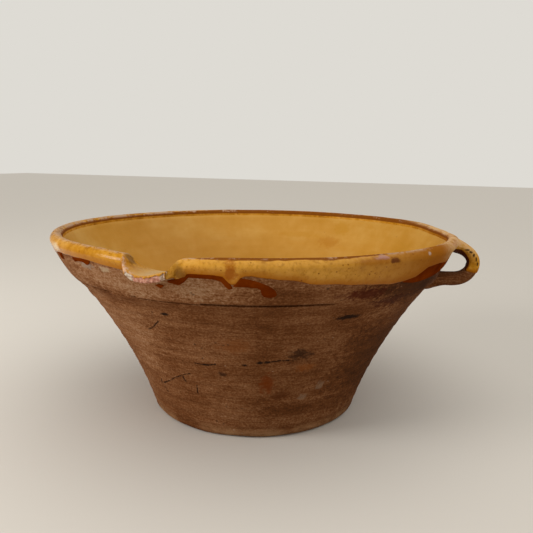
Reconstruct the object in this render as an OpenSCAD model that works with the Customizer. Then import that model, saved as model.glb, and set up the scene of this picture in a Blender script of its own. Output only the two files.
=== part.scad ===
// Tian dish: a wide thrown earthenware bowl with a rim band, a pulled pouring
// spout, two strap handles and a yellow lead glaze over a pale slip.
// The origin is the middle of the foot, +Z is up and the spout points along -Y.
// All lengths are in millimetres and all angles in degrees.

/* [Bowl] */
// Diameter of the flat foot that the dish stands on
foot_d = 233; // [200:1:270]
// Radius of the worn round at the edge of the foot
foot_round = 3; // [1:0.5:6]
// Thickness of the wall, measured level
wall_t = 9; // [6:0.5:14]
// Thickness of the floor
floor_t = 12; // [8:0.5:18]
// Size of the inside round where the floor turns up into the wall
floor_fillet = 30; // [10:1:45]
// How far the wall bows in from a straight cone
wall_bow = 7; // [2:0.5:12]
// Outside diameter where the wall turns out into the shoulder
shoulder_d = 372; // [345:1:395]
// Height of the shoulder, from that turn up to the groove
shoulder_h = 20; // [14:1:30]
// Outside diameter at the groove under the rim band
groove_d = 410; // [398:1:420]

/* [Rim band] */
// Outside diameter over the rim
rim_d = 450; // [435:1:480]
// Height of the clay crest above the table
rim_z = 206; // [198:1:225]
// Height of the band, from the groove up to the crest
band_h = 43; // [38:1:50]
// Thickness of the rim under its rounded crest
rim_t = 12.5; // [10:0.5:18]
// Height of the rounded crest
crest_rise = 7; // [3:0.5:9]
// How far the face of the band swells beyond a straight cone
band_bulge = 1.8; // [0:0.1:4]
// How far the band overhangs the groove
band_step = 1.2; // [0.5:0.1:3]

/* [Spout] */
// Inside width of the spout where it leaves the bowl
spout_w = 30; // [20:1:40]
// How much wider the spout is at its lip
spout_flare = 6; // [0:0.5:12]
// Thickness of the clay of the spout
spout_t = 5.5; // [4:0.5:8]
// How far the lip stands out beyond the rim
spout_reach = 13; // [6:1:24]

/* [Handles] */
// Width of the strap
handle_w = 24; // [18:1:34]
// Thickness of the strap
handle_t = 11; // [8:0.5:14]
// Height of the gap for the fingers
finger_gap = 29; // [25:1:32]
// Radius of the lower bend, at the middle of the strap
low_bend = 16; // [14:0.5:18]
// How far the strap stands out beyond the rim
handle_reach = 31; // [27:1:42]
// Depth of the outermost point of the strap below the crest
handle_drop = 35; // [33:0.5:38]
// How far the thumbed roots spread round the strap where they meet the bowl
root_spread = 6; // [3:0.5:8]
// How far the lower root runs out along the strap
low_root_len = 12; // [8:1:16]
// How far the upper root runs out along the strap
high_root_len = 7; // [4:0.5:9]
// Thickness of a root where it runs out on the strap
root_edge = 1; // [0.5:0.1:2]
// Turn of the right handle from the spout
right_handle_turn = 105; // [90:1:130]
// Turn of the left handle from the spout
left_handle_turn = 105; // [90:1:130]

/* [Coats] */
// Thickness of the pale slip under the glaze inside
slip_t = 0.6; // [0.3:0.1:1.2]
// Thickness of the glaze
glaze_t = 0.6; // [0.3:0.1:1.2]
// How far the glaze comes down the outside of the band, below the crest
glaze_fall = 20; // [12:1:24]
// How far the glaze comes down the handles, below the crest
handle_glaze_fall = 35; // [24:1:38]

/* [Hidden] */

$fn = 96;

CLAY = "#8a6040";
SLIP = "#d8c49a";
YELLOW_GLAZE = "#c8923a";
AMBER_GLAZE = "#7c4312";

// The groove and the shoulder lie at set depths below the crest
groove_z = rim_z - band_h;
shoulder_z = groove_z - shoulder_h;

foot_r = foot_d / 2;
shoulder_r = shoulder_d / 2;
groove_r = groove_d / 2;
rim_r = rim_d / 2;
band_foot_r = groove_r + band_step;

// The crest is half an ellipse on the top of the band
crest_r = rim_r - rim_t / 2;
crest_foot_z = rim_z - crest_rise;
rim_inner_r = rim_r - rim_t;

// The spout runs from inside the bowl to past its lip before it is trimmed
spout_lip_r = rim_r + spout_reach;
spout_lead = 30;
spout_over = 5;

// The middle of the strap, where its two bends meet at its outermost point
strap_x = rim_r + handle_reach - handle_t / 2;
strap_z = rim_z - handle_drop;
strap_edge = (handle_w - handle_t) / 2;
high_bend = finger_gap + handle_t - low_bend;
low_root_z = strap_z - low_bend;
high_root_z = strap_z + high_bend;

glaze_edge_z = rim_z - glaze_fall;
handle_glaze_z = rim_z - handle_glaze_fall;

// Each tongue of glaze below that edge: turn from the spout, then width and length
// as shares of how far the glaze comes down
TONGUES = [
    [-35, 0.8, 0.25], [10, 1, 0.2], [18, 0.45, 0.4], [27, 0.7, 0.65],
    [70, 1.3, 0.4], [128, 0.6, 0.45], [151, 0.9, 0.25], [176, 0.5, 0.6],
    [203, 1.1, 0.3], [238, 0.65, 0.5], [284, 0.9, 0.25]
];

// Steps along each curved stretch of an outline
foot_steps = 6;
wall_steps = 16;
fillet_steps = 8;
band_steps = 7;
crest_steps = 16;

// Outside radius of the wall between the foot and the shoulder
function wall_r(z) =
    let (u = z / shoulder_z)
    foot_r + (shoulder_r - foot_r) * u - 4 * wall_bow * u * (1 - u);

// Outside radius of the rim band between the groove and the crest
function band_r(z) =
    let (u = (z - groove_z) / (crest_foot_z - groove_z))
    band_foot_r + (rim_r - band_foot_r) * u + 4 * band_bulge * u * (1 - u);

// Outside radius of the clay at any height under the crest
function outer_r(z) =
    z < shoulder_z ? wall_r(z) :
    z < groove_z ? shoulder_r + (groove_r - shoulder_r) * (z - shoulder_z) / (groove_z - shoulder_z) :
    band_r(z);

// Inside radius of the clay at a height, less a coat
function inner_r(z, coat) =
    let (u = (z - shoulder_z) / (crest_foot_z - shoulder_z))
    (z < shoulder_z ? wall_r(z) - wall_t : (shoulder_r - wall_t) * (1 - u) + rim_inner_r * u) - coat;

// Point on a curve that leaves a towards the corner b and arrives at c
function corner_point(a, b, c, u) =
    (1 - u) * (1 - u) * a + 2 * u * (1 - u) * b + u * u * c;

function reversed(points) = [for (i = [len(points) - 1 : -1 : 0]) points[i]];

// The worn round at the edge of the foot
function foot_points() =
    let (middle = wall_r(foot_round) - foot_round)
    [for (i = [0 : foot_steps])
        let (angle = 90 * i / foot_steps - 90)
        [middle + foot_round * cos(angle), foot_round + foot_round * sin(angle)]];

// The outside of the wall, from above the foot up to the shoulder
function wall_points() =
    [for (i = [1 : wall_steps])
        let (z = foot_round + (shoulder_z - foot_round) * i / wall_steps)
        [wall_r(z), z]];

// The face of the band from one height up to the crest, out by a coat
function band_points(low, coat) =
    [for (i = [0 : band_steps])
        let (z = low + (crest_foot_z - low) * i / band_steps)
        [band_r(z) + coat, z]];

// The rounded crest from outside to inside, out by a coat
function crest_points(coat) =
    [for (i = [1 : crest_steps])
        let (angle = 180 * i / crest_steps)
        [crest_r + (rim_t / 2 + coat) * cos(angle), crest_foot_z + (crest_rise + coat) * sin(angle)]];

// The inside of the clay from the middle of the floor up to a height, in by a coat
function inner_points(top, coat) =
    let (
        floor_z = floor_t + coat,
        turn_z = floor_z + floor_fillet,
        corner = [inner_r(floor_z, coat), floor_z],
        start = [corner.x - floor_fillet, floor_z],
        end = [inner_r(turn_z, coat), turn_z]
    )
    concat(
        [[0, floor_z]],
        [for (i = [0 : fillet_steps]) corner_point(start, corner, end, i / fillet_steps)],
        [for (i = [1 : wall_steps])
            let (z = turn_z + (shoulder_z - turn_z) * i / wall_steps)
            [inner_r(z, coat), z]],
        [[inner_r(top, coat), top]]
    );

// The clay filled solid and the air over the crest plus a coat, which trim what is stuck on
module stuck_on_trim(coat) {
    rotate_extrude()
        polygon(concat(
            [[0, 0]], foot_points(), wall_points(), [[groove_r, groove_z]],
            band_points(groove_z, 0), crest_points(0), [[0, crest_foot_z]]
        ));
    translate([0, 0, crest_foot_z])
        cylinder(h = crest_rise + coat, r = crest_r);
    translate([0, 0, rim_z + coat])
        cylinder(h = handle_w, r = rim_r + handle_reach + handle_w);
}

// The room inside the clay and above it, less a coat
module inside_room(coat) {
    over_z = rim_z + handle_w;
    rotate_extrude()
        polygon(concat(inner_points(crest_foot_z, coat), [[rim_inner_r - coat, over_z], [0, over_z]]));
}

// A lining between the inside less one coat and the inside less a thicker one
module lining(near, far) {
    difference() {
        rotate_extrude()
            polygon(concat(
                inner_points(crest_foot_z, near),
                reversed(inner_points(crest_foot_z, far))
            ));
        spout_cone(0);
    }
}

// The cone that the spout follows, wider by a wall; its lowest line stays level
module spout_cone(wall) {
    run = spout_lip_r + spout_over - rim_inner_r;
    grow = spout_flare / 2 / (spout_lip_r - rim_inner_r);
    translate([0, -rim_inner_r, rim_z])
        rotate([90 - atan(grow), 0, 0])
            translate([0, 0, -spout_lead])
                rotate([0, 0, 90])
                    cylinder(
                        h = spout_lead + run,
                        r1 = spout_w / 2 + wall - spout_lead * grow,
                        r2 = spout_w / 2 + wall + run * grow
                    );
}

// The room in front of the lip and above the crest
module beyond_lip() {
    far_r = spout_lip_r + spout_lead;
    rotate_extrude()
        polygon([
            [spout_lip_r, 0], [far_r, 0], [far_r, rim_z + spout_w],
            [0, rim_z + spout_w], [0, rim_z], [spout_lip_r, rim_z]
        ]);
}

// The clay or glaze between two cones, from the inside less a coat out to the lip
module trough(outer_wall, inner_wall, coat) {
    difference() {
        spout_cone(outer_wall);
        spout_cone(inner_wall);
        inside_room(coat);
        beyond_lip();
    }
}

// Cross-section of the strap, with full rounds at its edges
module strap_section(coat) {
    square([handle_t + 2 * coat, 2 * strap_edge], center = true);
    for (side = [-1, 1])
        translate([0, side * strap_edge])
            circle(d = handle_t + 2 * coat);
}

// A quarter bend of the strap that rises from its start
module strap_bend(radius, coat) {
    translate([-radius, 0])
        rotate_extrude(angle = 90)
            translate([radius, 0])
                strap_section(coat);
}

// A straight run of the strap that goes in towards the bowl
module strap_run(length, coat) {
    rotate([0, 0, 90])
        rotate([-90, 0, 0])
            linear_extrude(length)
                strap_section(coat);
}

// Carries its children to the outermost point of the strap, with x out, y up and z across
module at_strap() {
    translate([strap_x, 0, strap_z])
        rotate([90, 0, 0])
            children();
}

// A strap bent from the crest round the finger gap and back to the shoulder
module strap(coat) {
    at_strap() {
        strap_bend(high_bend, coat);
        mirror([0, 1, 0])
            strap_bend(low_bend, coat);
        translate([-high_bend, high_bend, 0])
            strap_run(strap_x - high_bend - crest_r, coat);
        translate([-low_bend, -low_bend, 0])
            strap_run(strap_x - low_bend - inner_r(low_root_z, 0), coat);
    }
}

// The clay thumbed out round the strap where it meets the bowl at a height
module thumbed_root(z, length, coat) {
    depth = length + wall_t;
    edge = handle_t / 2 + root_edge + coat;
    deep = edge + (root_spread - root_edge) * depth / length;
    translate([outer_r(z) + length, 0, z])
        rotate([90, 0, 0]) {
            for (side = [-1, 1])
                translate([0, 0, side * strap_edge])
                    rotate([0, -90, 0])
                        cylinder(h = depth, r1 = edge, r2 = deep);
            linear_extrude(2 * strap_edge, center = true)
                polygon([[0, -edge], [0, edge], [-depth, deep], [-depth, -deep]]);
        }
}

// A strap cut where it is stuck to the clay
module handle() {
    difference() {
        strap(0);
        stuck_on_trim(0);
    }
}

// Both thumbed roots of a handle
module handle_roots() {
    difference() {
        union() {
            thumbed_root(low_root_z, low_root_len, 0);
            thumbed_root(high_root_z, high_root_len, 0);
        }
        strap(0);
        stuck_on_trim(0);
    }
}

// The glaze round the upper half of a strap and over its upper root
module strap_glaze() {
    difference() {
        union() {
            strap(glaze_t);
            thumbed_root(high_root_z, high_root_len, glaze_t);
        }
        strap(0);
        thumbed_root(high_root_z, high_root_len, 0);
        stuck_on_trim(glaze_t);
        cylinder(h = handle_glaze_z, r = rim_r + handle_reach + handle_w);
    }
}

// Turns its children from the +X direction to a turn from the spout
module at_turn(turn) {
    rotate([0, 0, turn - 90])
        children();
}

// The glaze on the face of the band between the groove and the rim coat's edge
module band_skin() {
    difference() {
        rotate_extrude()
            polygon(concat(
                band_points(groove_z, glaze_t),
                reversed(band_points(groove_z, 0))
            ));
        translate([0, 0, glaze_edge_z])
            cylinder(h = rim_z, r = spout_lip_r);
    }
}

// A tongue with a round end, cut through the face of the band
module tongue(turn, width, length) {
    rotate([0, 0, turn])
        translate([0, 0, glaze_edge_z])
            rotate([90, 0, 0])
                linear_extrude(spout_lip_r)
                    translate([0, width / 2 - length]) {
                        circle(d = width);
                        translate([-width / 2, 0])
                            square([width, glaze_fall]);
                    }
}

// The floor and wall, thrown in one up to the groove
module thrown_bowl() {
    color(CLAY)
        difference() {
            rotate_extrude()
                polygon(concat(
                    [[0, 0]], foot_points(), wall_points(), [[groove_r, groove_z]],
                    reversed(inner_points(groove_z, 0))
                ));
            spout_cone(spout_t);
        }
}

// The thick band luted on the wall and rounded at its crest
module rim_band() {
    color(CLAY)
        difference() {
            rotate_extrude()
                polygon(concat(
                    [[inner_r(groove_z, 0), groove_z]], band_points(groove_z, 0), crest_points(0)
                ));
            spout_cone(spout_t);
        }
}

// The trough pulled out through a notch in the band
module pouring_spout() {
    color(CLAY)
        trough(spout_t, 0, 0);
}

module right_handle() {
    color(CLAY)
        at_turn(right_handle_turn)
            handle();
}

module left_handle() {
    color(CLAY)
        at_turn(-left_handle_turn)
            handle();
}

module right_handle_root() {
    color(CLAY)
        at_turn(right_handle_turn)
            handle_roots();
}

module left_handle_root() {
    color(CLAY)
        at_turn(-left_handle_turn)
            handle_roots();
}

// The pale clay coat that makes the glaze yellow inside
module slip_lining() {
    color(SLIP)
        lining(0, slip_t);
}

module interior_glaze() {
    color(YELLOW_GLAZE)
        lining(slip_t, slip_t + glaze_t);
}

// The glaze over the crest and the upper face of the band
module rim_glaze() {
    color(YELLOW_GLAZE)
        difference() {
            rotate_extrude()
                polygon(concat(
                    band_points(glaze_edge_z, glaze_t), crest_points(glaze_t),
                    reversed(crest_points(0)), reversed(band_points(glaze_edge_z, 0))
                ));
            spout_cone(spout_t);
            for (turn = [right_handle_turn, -left_handle_turn])
                at_turn(turn) {
                    strap(glaze_t);
                    thumbed_root(high_root_z, high_root_len, glaze_t);
                }
        }
}

module spout_glaze() {
    color(YELLOW_GLAZE)
        trough(0, -glaze_t, slip_t + glaze_t);
}

// The glaze on the upper half of both straps
module handle_glaze() {
    color(YELLOW_GLAZE)
        for (turn = [right_handle_turn, -left_handle_turn])
            at_turn(turn)
                strap_glaze();
}

// Tongues of glaze that ran past the slip onto the bare clay
module glaze_runs() {
    color(AMBER_GLAZE)
        for (run = TONGUES)
            intersection() {
                band_skin();
                tongue(run[0], run[1] * glaze_fall, run[2] * glaze_fall);
            }
}

thrown_bowl();
rim_band();
pouring_spout();
right_handle();
left_handle();
right_handle_root();
left_handle_root();
slip_lining();
interior_glaze();
rim_glaze();
spout_glaze();
handle_glaze();
glaze_runs();
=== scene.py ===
"""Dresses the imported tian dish: thrown clay, a pulled lip, strap handles and running lead glaze.

Axes are those of the frame: the middle of the foot is the origin, +Z is up and the spout points along -Y.
A turn is an angle round the upright axis, from the spout towards +X. Lengths are in metres.
"""

import logging
import math
from collections.abc import Callable, Sequence
from dataclasses import dataclass, field
from enum import Enum

import bpy
import numpy as np
from mathutils import Matrix, Vector, noise


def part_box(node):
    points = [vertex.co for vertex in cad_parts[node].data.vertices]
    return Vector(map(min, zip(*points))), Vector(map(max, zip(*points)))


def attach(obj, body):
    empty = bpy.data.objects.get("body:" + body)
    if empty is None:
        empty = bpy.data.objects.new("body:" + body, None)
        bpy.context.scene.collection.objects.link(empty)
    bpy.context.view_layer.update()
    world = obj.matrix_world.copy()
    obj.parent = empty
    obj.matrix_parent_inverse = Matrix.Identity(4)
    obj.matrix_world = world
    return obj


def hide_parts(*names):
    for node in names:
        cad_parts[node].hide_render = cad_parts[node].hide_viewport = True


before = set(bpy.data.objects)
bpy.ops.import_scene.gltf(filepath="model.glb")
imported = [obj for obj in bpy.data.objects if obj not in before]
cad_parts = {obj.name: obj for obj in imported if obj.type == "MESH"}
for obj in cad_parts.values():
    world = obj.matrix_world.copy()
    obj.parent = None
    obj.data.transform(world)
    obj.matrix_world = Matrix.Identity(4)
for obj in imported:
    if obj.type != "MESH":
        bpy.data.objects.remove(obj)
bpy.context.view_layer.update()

LOG = logging.getLogger("tian_dish")
MM = 0.001
MERGE = 0.01 * MM
BODY = "root"

Socket = bpy.types.NodeSocket
Tree = bpy.types.NodeTree
Piece = bpy.types.Object
Colour = tuple[float, float, float, float]
Spots = tuple[np.ndarray, np.ndarray, np.ndarray]
Worked = Callable[[np.ndarray, np.ndarray], Spots]
Lift = Callable[[np.ndarray, np.ndarray], np.ndarray]


class Slot(Enum):
    """The record's material slots."""

    CLAY = "bare_clay"
    YELLOW = "yellow_glaze"
    AMBER = "amber_glaze"


# Small sums


def smooth(low: float, high: float, value: np.ndarray) -> np.ndarray:
    """Gives the soft step from 0 at low to 1 at high.

    Args:
        low: Where the step starts.
        high: Where it ends; it may be under low.
        value: The values to look up.

    Returns:
        The step's height at each value.
    """
    part = np.clip((value - low) / (high - low), 0, 1)
    return part * part * (3 - 2 * part)


def uneven(turn: np.ndarray, seed: int, lowest: int, highest: int) -> np.ndarray:
    """Gives a smooth hand-made waver round the dish that meets itself.

    Args:
        turn: Turns in radians.
        seed: Picks one waver.
        lowest: The fewest waves in a round.
        highest: The most waves in a round.

    Returns:
        Values of about -1 to 1.
    """
    waves = range(lowest, highest + 1)
    total = np.zeros_like(turn)
    for wave in waves:
        # A fixed scramble of the seed and the wave
        phase = math.sin(seed * 12.9898 + wave * 78.233) * 43758.5453
        total = total + np.sin(wave * turn + phase)
    return total / math.sqrt(len(waves)) / 1.6


def grain(points: np.ndarray, size: float, seed: float) -> np.ndarray:
    """Gives rough noise at points in space.

    Args:
        points: Rows of x, y and z.
        size: Length of one grain.
        seed: Shifts the noise.

    Returns:
        Values of about -1 to 1.
    """
    shift = Vector((seed, -seed, seed * 0.7))
    return np.array([noise.noise(Vector(p) / size + shift) for p in points])


# Sizes


@dataclass(frozen=True)
class DishSizes:
    """The outline of the thrown dish, with heights and reaches from the frame."""

    crest_z: float
    groove_z: float
    groove_r: float
    rim_r: float
    lip_r: float
    rim_t: float
    foot_r: float = 116.5 * MM
    wall_t: float = 9 * MM
    floor_t: float = 12 * MM
    floor_round: float = 30 * MM
    wall_bow: float = 7 * MM
    shoulder_h: float = 20 * MM
    shoulder_run: float = 17.6 * MM
    crest_rise: float = 7 * MM
    band_bulge: float = 1.8 * MM
    band_step: float = 1.2 * MM

    @classmethod
    def from_frame(cls) -> "DishSizes":
        """Reads the sizes that the frame gives.

        Returns:
            The sizes.
        """
        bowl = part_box("thrown_bowl")[1]
        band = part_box("rim_band")[1]
        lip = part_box("pouring_spout")[0]
        rim_t = band.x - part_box("slip_lining")[1].x
        return cls(crest_z=band.z, groove_z=bowl.z, groove_r=bowl.x, rim_r=band.x, lip_r=-lip.y, rim_t=rim_t)

    @property
    def shoulder_z(self) -> float:
        """Height of the turn from the wall to the shoulder."""
        return self.groove_z - self.shoulder_h

    @property
    def shoulder_r(self) -> float:
        """Outside radius at that turn."""
        return self.groove_r - self.shoulder_run

    @property
    def crest_foot_z(self) -> float:
        """Height where the rounded crest starts."""
        return self.crest_z - self.crest_rise

    def wall_r(self, z: np.ndarray) -> np.ndarray:
        """Outside radius of the wall under the shoulder."""
        part = z / self.shoulder_z
        return self.foot_r + (self.shoulder_r - self.foot_r) * part - 4 * self.wall_bow * part * (1 - part)

    def band_r(self, z: np.ndarray) -> np.ndarray:
        """Outside radius of the band's face.

        Args:
            z: Heights above the table.

        Returns:
            Radii.
        """
        part = (z - self.groove_z) / (self.crest_foot_z - self.groove_z)
        low = self.groove_r + self.band_step
        return low + (self.rim_r - low) * part + 4 * self.band_bulge * part * (1 - part)

    def outer_r(self, z: np.ndarray) -> np.ndarray:
        """Outside radius at any height under the crest.

        Args:
            z: Heights above the table.

        Returns:
            Radii.
        """
        part = (z - self.shoulder_z) / self.shoulder_h
        shoulder = self.shoulder_r + self.shoulder_run * part
        high = np.where(z < self.groove_z, shoulder, self.band_r(z))
        return np.where(z < self.shoulder_z, self.wall_r(z), high)

    def inner_r(self, z: np.ndarray) -> np.ndarray:
        """Inside radius of the clay above the floor's round.

        Args:
            z: Heights above the table.

        Returns:
            Radii.
        """
        part = (z - self.shoulder_z) / (self.crest_foot_z - self.shoulder_z)
        low = self.shoulder_r - self.wall_t
        high = low + (self.rim_r - self.rim_t - low) * part
        return np.where(z < self.shoulder_z, self.wall_r(z) - self.wall_t, high)

    def floor_bend(self, coat: float, steps: int) -> list[tuple[float, float]]:
        """Gives the inside round from the floor up to the wall, less a coat.

        Args:
            coat: Thickness of the coat; under 0 it lies in the clay.
            steps: Points in the round.

        Returns:
            Radius and height of each point.
        """
        floor = self.floor_t + coat
        high = floor + self.floor_round
        corner = np.array([float(self.inner_r(np.array(floor))) - coat, floor])
        begin = corner - np.array([self.floor_round, 0])
        end = np.array([float(self.inner_r(np.array(high))) - coat, high])
        parts = np.linspace(0, 1, steps)
        bent = [(1 - u) ** 2 * begin + 2 * u * (1 - u) * corner + u ** 2 * end for u in parts]
        return [(float(r), float(z)) for r, z in bent]

    def place(self, turn: float, z: float, out: float = 0) -> Vector:
        """Gives the point of the outside, or out from it, at a turn in degrees and a height."""
        r = float(self.outer_r(np.array(z))) + out
        return Vector((r * math.sin(math.radians(turn)), -r * math.cos(math.radians(turn)), z))


@dataclass(frozen=True)
class CatmullLine:
    """A smooth line through points in millimetres."""

    through: tuple[tuple[float, float], ...]

    def points(self, steps: int) -> tuple[np.ndarray, np.ndarray]:
        """Gives the points of the line.

        Args:
            steps: Steps between two points.

        Returns:
            Its two coordinates in metres.
        """
        knots = np.array(self.through) * MM
        knots = np.concatenate([2 * knots[:1] - knots[1:2], knots, 2 * knots[-1:] - knots[-2:-1]])
        u = np.arange(steps)[:, None] / steps
        found = []
        for a, b, c, d in zip(knots, knots[1:], knots[2:], knots[3:]):
            bent = 2 * b + (c - a) * u + (2 * a - 5 * b + 4 * c - d) * u ** 2
            bent = bent + (3 * b - a - 3 * c + d) * u ** 3
            found.append(bent / 2)
        line = np.concatenate(found + [knots[-2:-1]])
        return line[:, 0], line[:, 1]

    def level(self, along: np.ndarray) -> np.ndarray:
        """Reads the second coordinate at places along the first."""
        first, second = self.points(12)
        return np.interp(along, first, second)


@dataclass(frozen=True)
class LipShape:
    """The pulled lip in millimetres: places along the rim from its middle, with heights above the table.

    The shares say how far each place is pulled from the plain band to the full lip, in thousandths.
    """

    left: float = -31 * MM
    right: float = 37.3 * MM
    top: CatmullLine = CatmullLine((
        (-31, 203.6), (-26, 203.4), (-23.2, 202.8), (-21.2, 201), (-19.6, 198), (-14, 193.9), (-8, 190.9),
        (-2, 189.9), (6, 191), (14.8, 193.7), (19.5, 195.2), (24, 197.5), (38, 199),
    ))
    low: CatmullLine = CatmullLine((
        (-31, 203), (-26, 202), (-22.4, 200), (-20, 195.4), (-18, 191.4), (-15.5, 189), (-10.5, 186.2),
        (-3, 184.9), (6, 185.4), (14.5, 187.3), (19.5, 189.6), (24, 191), (38, 191.5),
    ))
    sill: CatmullLine = CatmullLine((
        (-31, 201.6), (-28, 200.8), (-25.8, 198.4), (-24.1, 195.4), (-17.2, 192), (-5.9, 189.8),
        (5, 189.6), (14, 191.4), (20, 194), (26, 197.6), (38, 199),
    ))
    share: CatmullLine = CatmullLine((
        (-31, 0), (-29, 60), (-27, 300), (-25, 720), (-23, 980), (-21, 1000), (0, 1000), (18.5, 1000),
        (20.5, 970), (22, 780), (22.8, 520), (24.8, 240), (27.3, 110), (30, 40), (34, 0), (38, 0),
    ))


@dataclass(frozen=True)
class StrapShape:
    """A strap handle: its turn and width, and its outer and inner line in millimetres out and up.

    The flares widen its ends, squareness shapes its section, and its wings stop at rim_inside.
    """

    turn: float
    width: float = 25 * MM
    root_flare: float = 16 * MM
    foot_flare: float = 5 * MM
    squareness: float = 0.76
    rim_inside: float = 216.5 * MM
    outer: CatmullLine = CatmullLine((
        (216, 203), (220.5, 201.2), (226, 198.8), (233.8, 194.6), (241, 190), (246.4, 185.3),
        (250.2, 179.5), (251.8, 172.5), (250.8, 165.2), (247.4, 157.8), (241.5, 151.2), (233.4, 147),
        (224, 145.4), (214, 145.4), (204.5, 143.2), (195.5, 140.6), (187, 142),
    ))
    inner: CatmullLine = CatmullLine((
        (215, 190), (218.5, 186), (223, 184), (229, 182.6), (233.8, 180), (237.4, 176.6), (239, 173.4),
        (239.2, 170.5), (238, 167.5), (235.6, 164.4), (231.5, 161.6), (226.5, 160.4), (219.5, 160),
        (211.5, 160), (203, 160), (195, 158), (186, 154),
    ))


# Modelling by hand


def begin_edit(made: Piece) -> None:
    """Makes a piece the only selected one and opens it for editing.

    Args:
        made: The piece.
    """
    bpy.ops.object.select_all(action="DESELECT")
    made.select_set(True)
    bpy.context.view_layer.objects.active = made
    bpy.ops.object.mode_set(mode="EDIT")


def finish_mesh(made: Piece, angle: float = 40) -> None:
    """Turns the faces outward and shades the piece smooth.

    Args:
        made: The piece.
        angle: Edges sharper than this, in degrees, stay sharp.
    """
    begin_edit(made)
    bpy.ops.mesh.select_all(action="SELECT")
    bpy.ops.mesh.normals_make_consistent(inside=False)
    bpy.ops.object.mode_set(mode="OBJECT")
    bpy.ops.object.shade_smooth_by_angle(angle=math.radians(angle))


def spin_rows(name: str, rows: int, start: float, arcs: Sequence[tuple[float, int]]) -> Piece:
    """Spins a ring of rows round the upright axis, as on the wheel.

    Args:
        name: Name of the new piece.
        rows: Points in the closed outline; each keeps its number in the attribute "row".
        start: Turn of the first outline, in radians.
        arcs: Angles in radians, each with its steps.

    Returns:
        The spun piece, with its open ends capped.
    """
    bpy.ops.object.select_all(action="DESELECT")
    ring = 50 * MM
    far = 200 * MM
    bpy.ops.mesh.primitive_circle_add(vertices=rows, radius=ring)
    made = bpy.context.object
    made.name = name
    made.data.name = name
    around = np.arange(rows) * 2 * math.pi / rows
    r = far + ring * np.cos(around)
    points = np.stack([r * math.sin(start), -r * math.cos(start), ring * np.sin(around)], 1)
    made.data.vertices.foreach_set("co", points.ravel())
    numbers = made.data.attributes.new("row", "FLOAT", "POINT")
    numbers.data.foreach_set("value", np.arange(rows, dtype=np.float32))
    steps = [0] + [step for _, step in arcs]
    angles = [0] + [angle for angle, _ in arcs]
    whole = sum(angles)
    wheel = made.modifiers.new("wheel", "SCREW")
    wheel.angle = whole
    wheel.steps = sum(steps)
    wheel.render_steps = sum(steps)
    bpy.ops.object.modifier_apply(modifier="wheel")
    points = points_of(made)
    turn = np.arctan2(points[:, 0], -points[:, 1])
    hair = 1e-5
    part = (turn - start + hair) % (2 * math.pi) / whole
    turn = start + np.interp(part, np.cumsum(steps) / sum(steps), np.cumsum(angles))
    r = np.hypot(points[:, 0], points[:, 1])
    set_points(made, np.stack([r * np.sin(turn), -r * np.cos(turn), points[:, 2]], 1))
    begin_edit(made)
    bpy.ops.mesh.select_all(action="SELECT")
    bpy.ops.mesh.remove_doubles(threshold=MERGE)
    bpy.ops.mesh.select_all(action="DESELECT")
    bpy.ops.mesh.select_non_manifold(extend=False, use_wire=False, use_multi_face=False)
    bpy.ops.mesh.edge_face_add()
    bpy.ops.object.mode_set(mode="OBJECT")
    return made


def points_of(made: Piece) -> np.ndarray:
    """Gives the points of a piece.

    Args:
        made: The piece.

    Returns:
        Rows of x, y and z.
    """
    points = np.zeros(len(made.data.vertices) * 3)
    made.data.vertices.foreach_get("co", points)
    return points.reshape(-1, 3)


def values_of(made: Piece, name: str) -> np.ndarray:
    """Reads a number that each point of a piece carries.

    Args:
        made: The piece.
        name: Name of the number.

    Returns:
        The number of each point.
    """
    values = np.zeros(len(made.data.vertices), dtype=np.float32)
    made.data.attributes[name].data.foreach_get("value", values)
    return values.astype(float)


def keep_values(made: Piece, name: str, values: np.ndarray) -> None:
    """Stores a number with each point of a piece, for its finish to read."""
    layer = made.data.attributes.new(name, "FLOAT", "POINT")
    layer.data.foreach_set("value", values.astype(np.float32))


def set_points(made: Piece, points: np.ndarray) -> None:
    """Moves the points of a piece."""
    made.data.vertices.foreach_set("co", points.ravel())
    made.data.update()


def work(made: Piece, worked: Worked) -> None:
    """Works a spun piece by hand: moves each point by its turn and its row.

    Args:
        made: A piece from spin_rows.
        worked: Gives turn, radius and height for arrays of turns and rows.
    """
    points = points_of(made)
    turn = np.arctan2(points[:, 0], -points[:, 1])
    turn, r, z = worked(turn, np.round(values_of(made, "row")).astype(int))
    set_points(made, np.stack([r * np.sin(turn), -r * np.cos(turn), z], 1))


def close_poles(made: Piece) -> None:
    """Joins the points that meet on the axis and drops what is left loose there.

    Args:
        made: The piece.
    """
    begin_edit(made)
    bpy.ops.mesh.select_all(action="SELECT")
    bpy.ops.mesh.remove_doubles(threshold=MERGE)
    bpy.ops.mesh.delete_loose(use_verts=True, use_edges=True, use_faces=False)
    bpy.ops.object.mode_set(mode="OBJECT")


def straight_bar(name: str, sides: int, cuts: int) -> Piece:
    """Makes a straight round bar of length 1 and radius 1 on the upright axis.

    Args:
        name: Name of the new piece.
        sides: Points round the bar.
        cuts: Cuts along its length.

    Returns:
        The bar, closed at both ends.
    """
    bpy.ops.object.select_all(action="DESELECT")
    bpy.ops.mesh.primitive_cylinder_add(vertices=sides, radius=1, depth=1, end_fill_type="NGON")
    made = bpy.context.object
    made.name = name
    made.data.name = name
    begin_edit(made)
    bpy.ops.mesh.select_mode(type="EDGE")
    bpy.ops.mesh.select_all(action="DESELECT")
    bpy.ops.object.mode_set(mode="OBJECT")
    points = points_of(made)
    for edge in made.data.edges:
        edge.select = bool(abs(points[edge.vertices[0], 2] - points[edge.vertices[1], 2]) > 0.5)
    bpy.ops.object.mode_set(mode="EDIT")
    bpy.ops.mesh.subdivide(number_cuts=cuts)
    bpy.ops.mesh.select_mode(type="VERT")
    bpy.ops.object.mode_set(mode="OBJECT")
    return made


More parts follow.
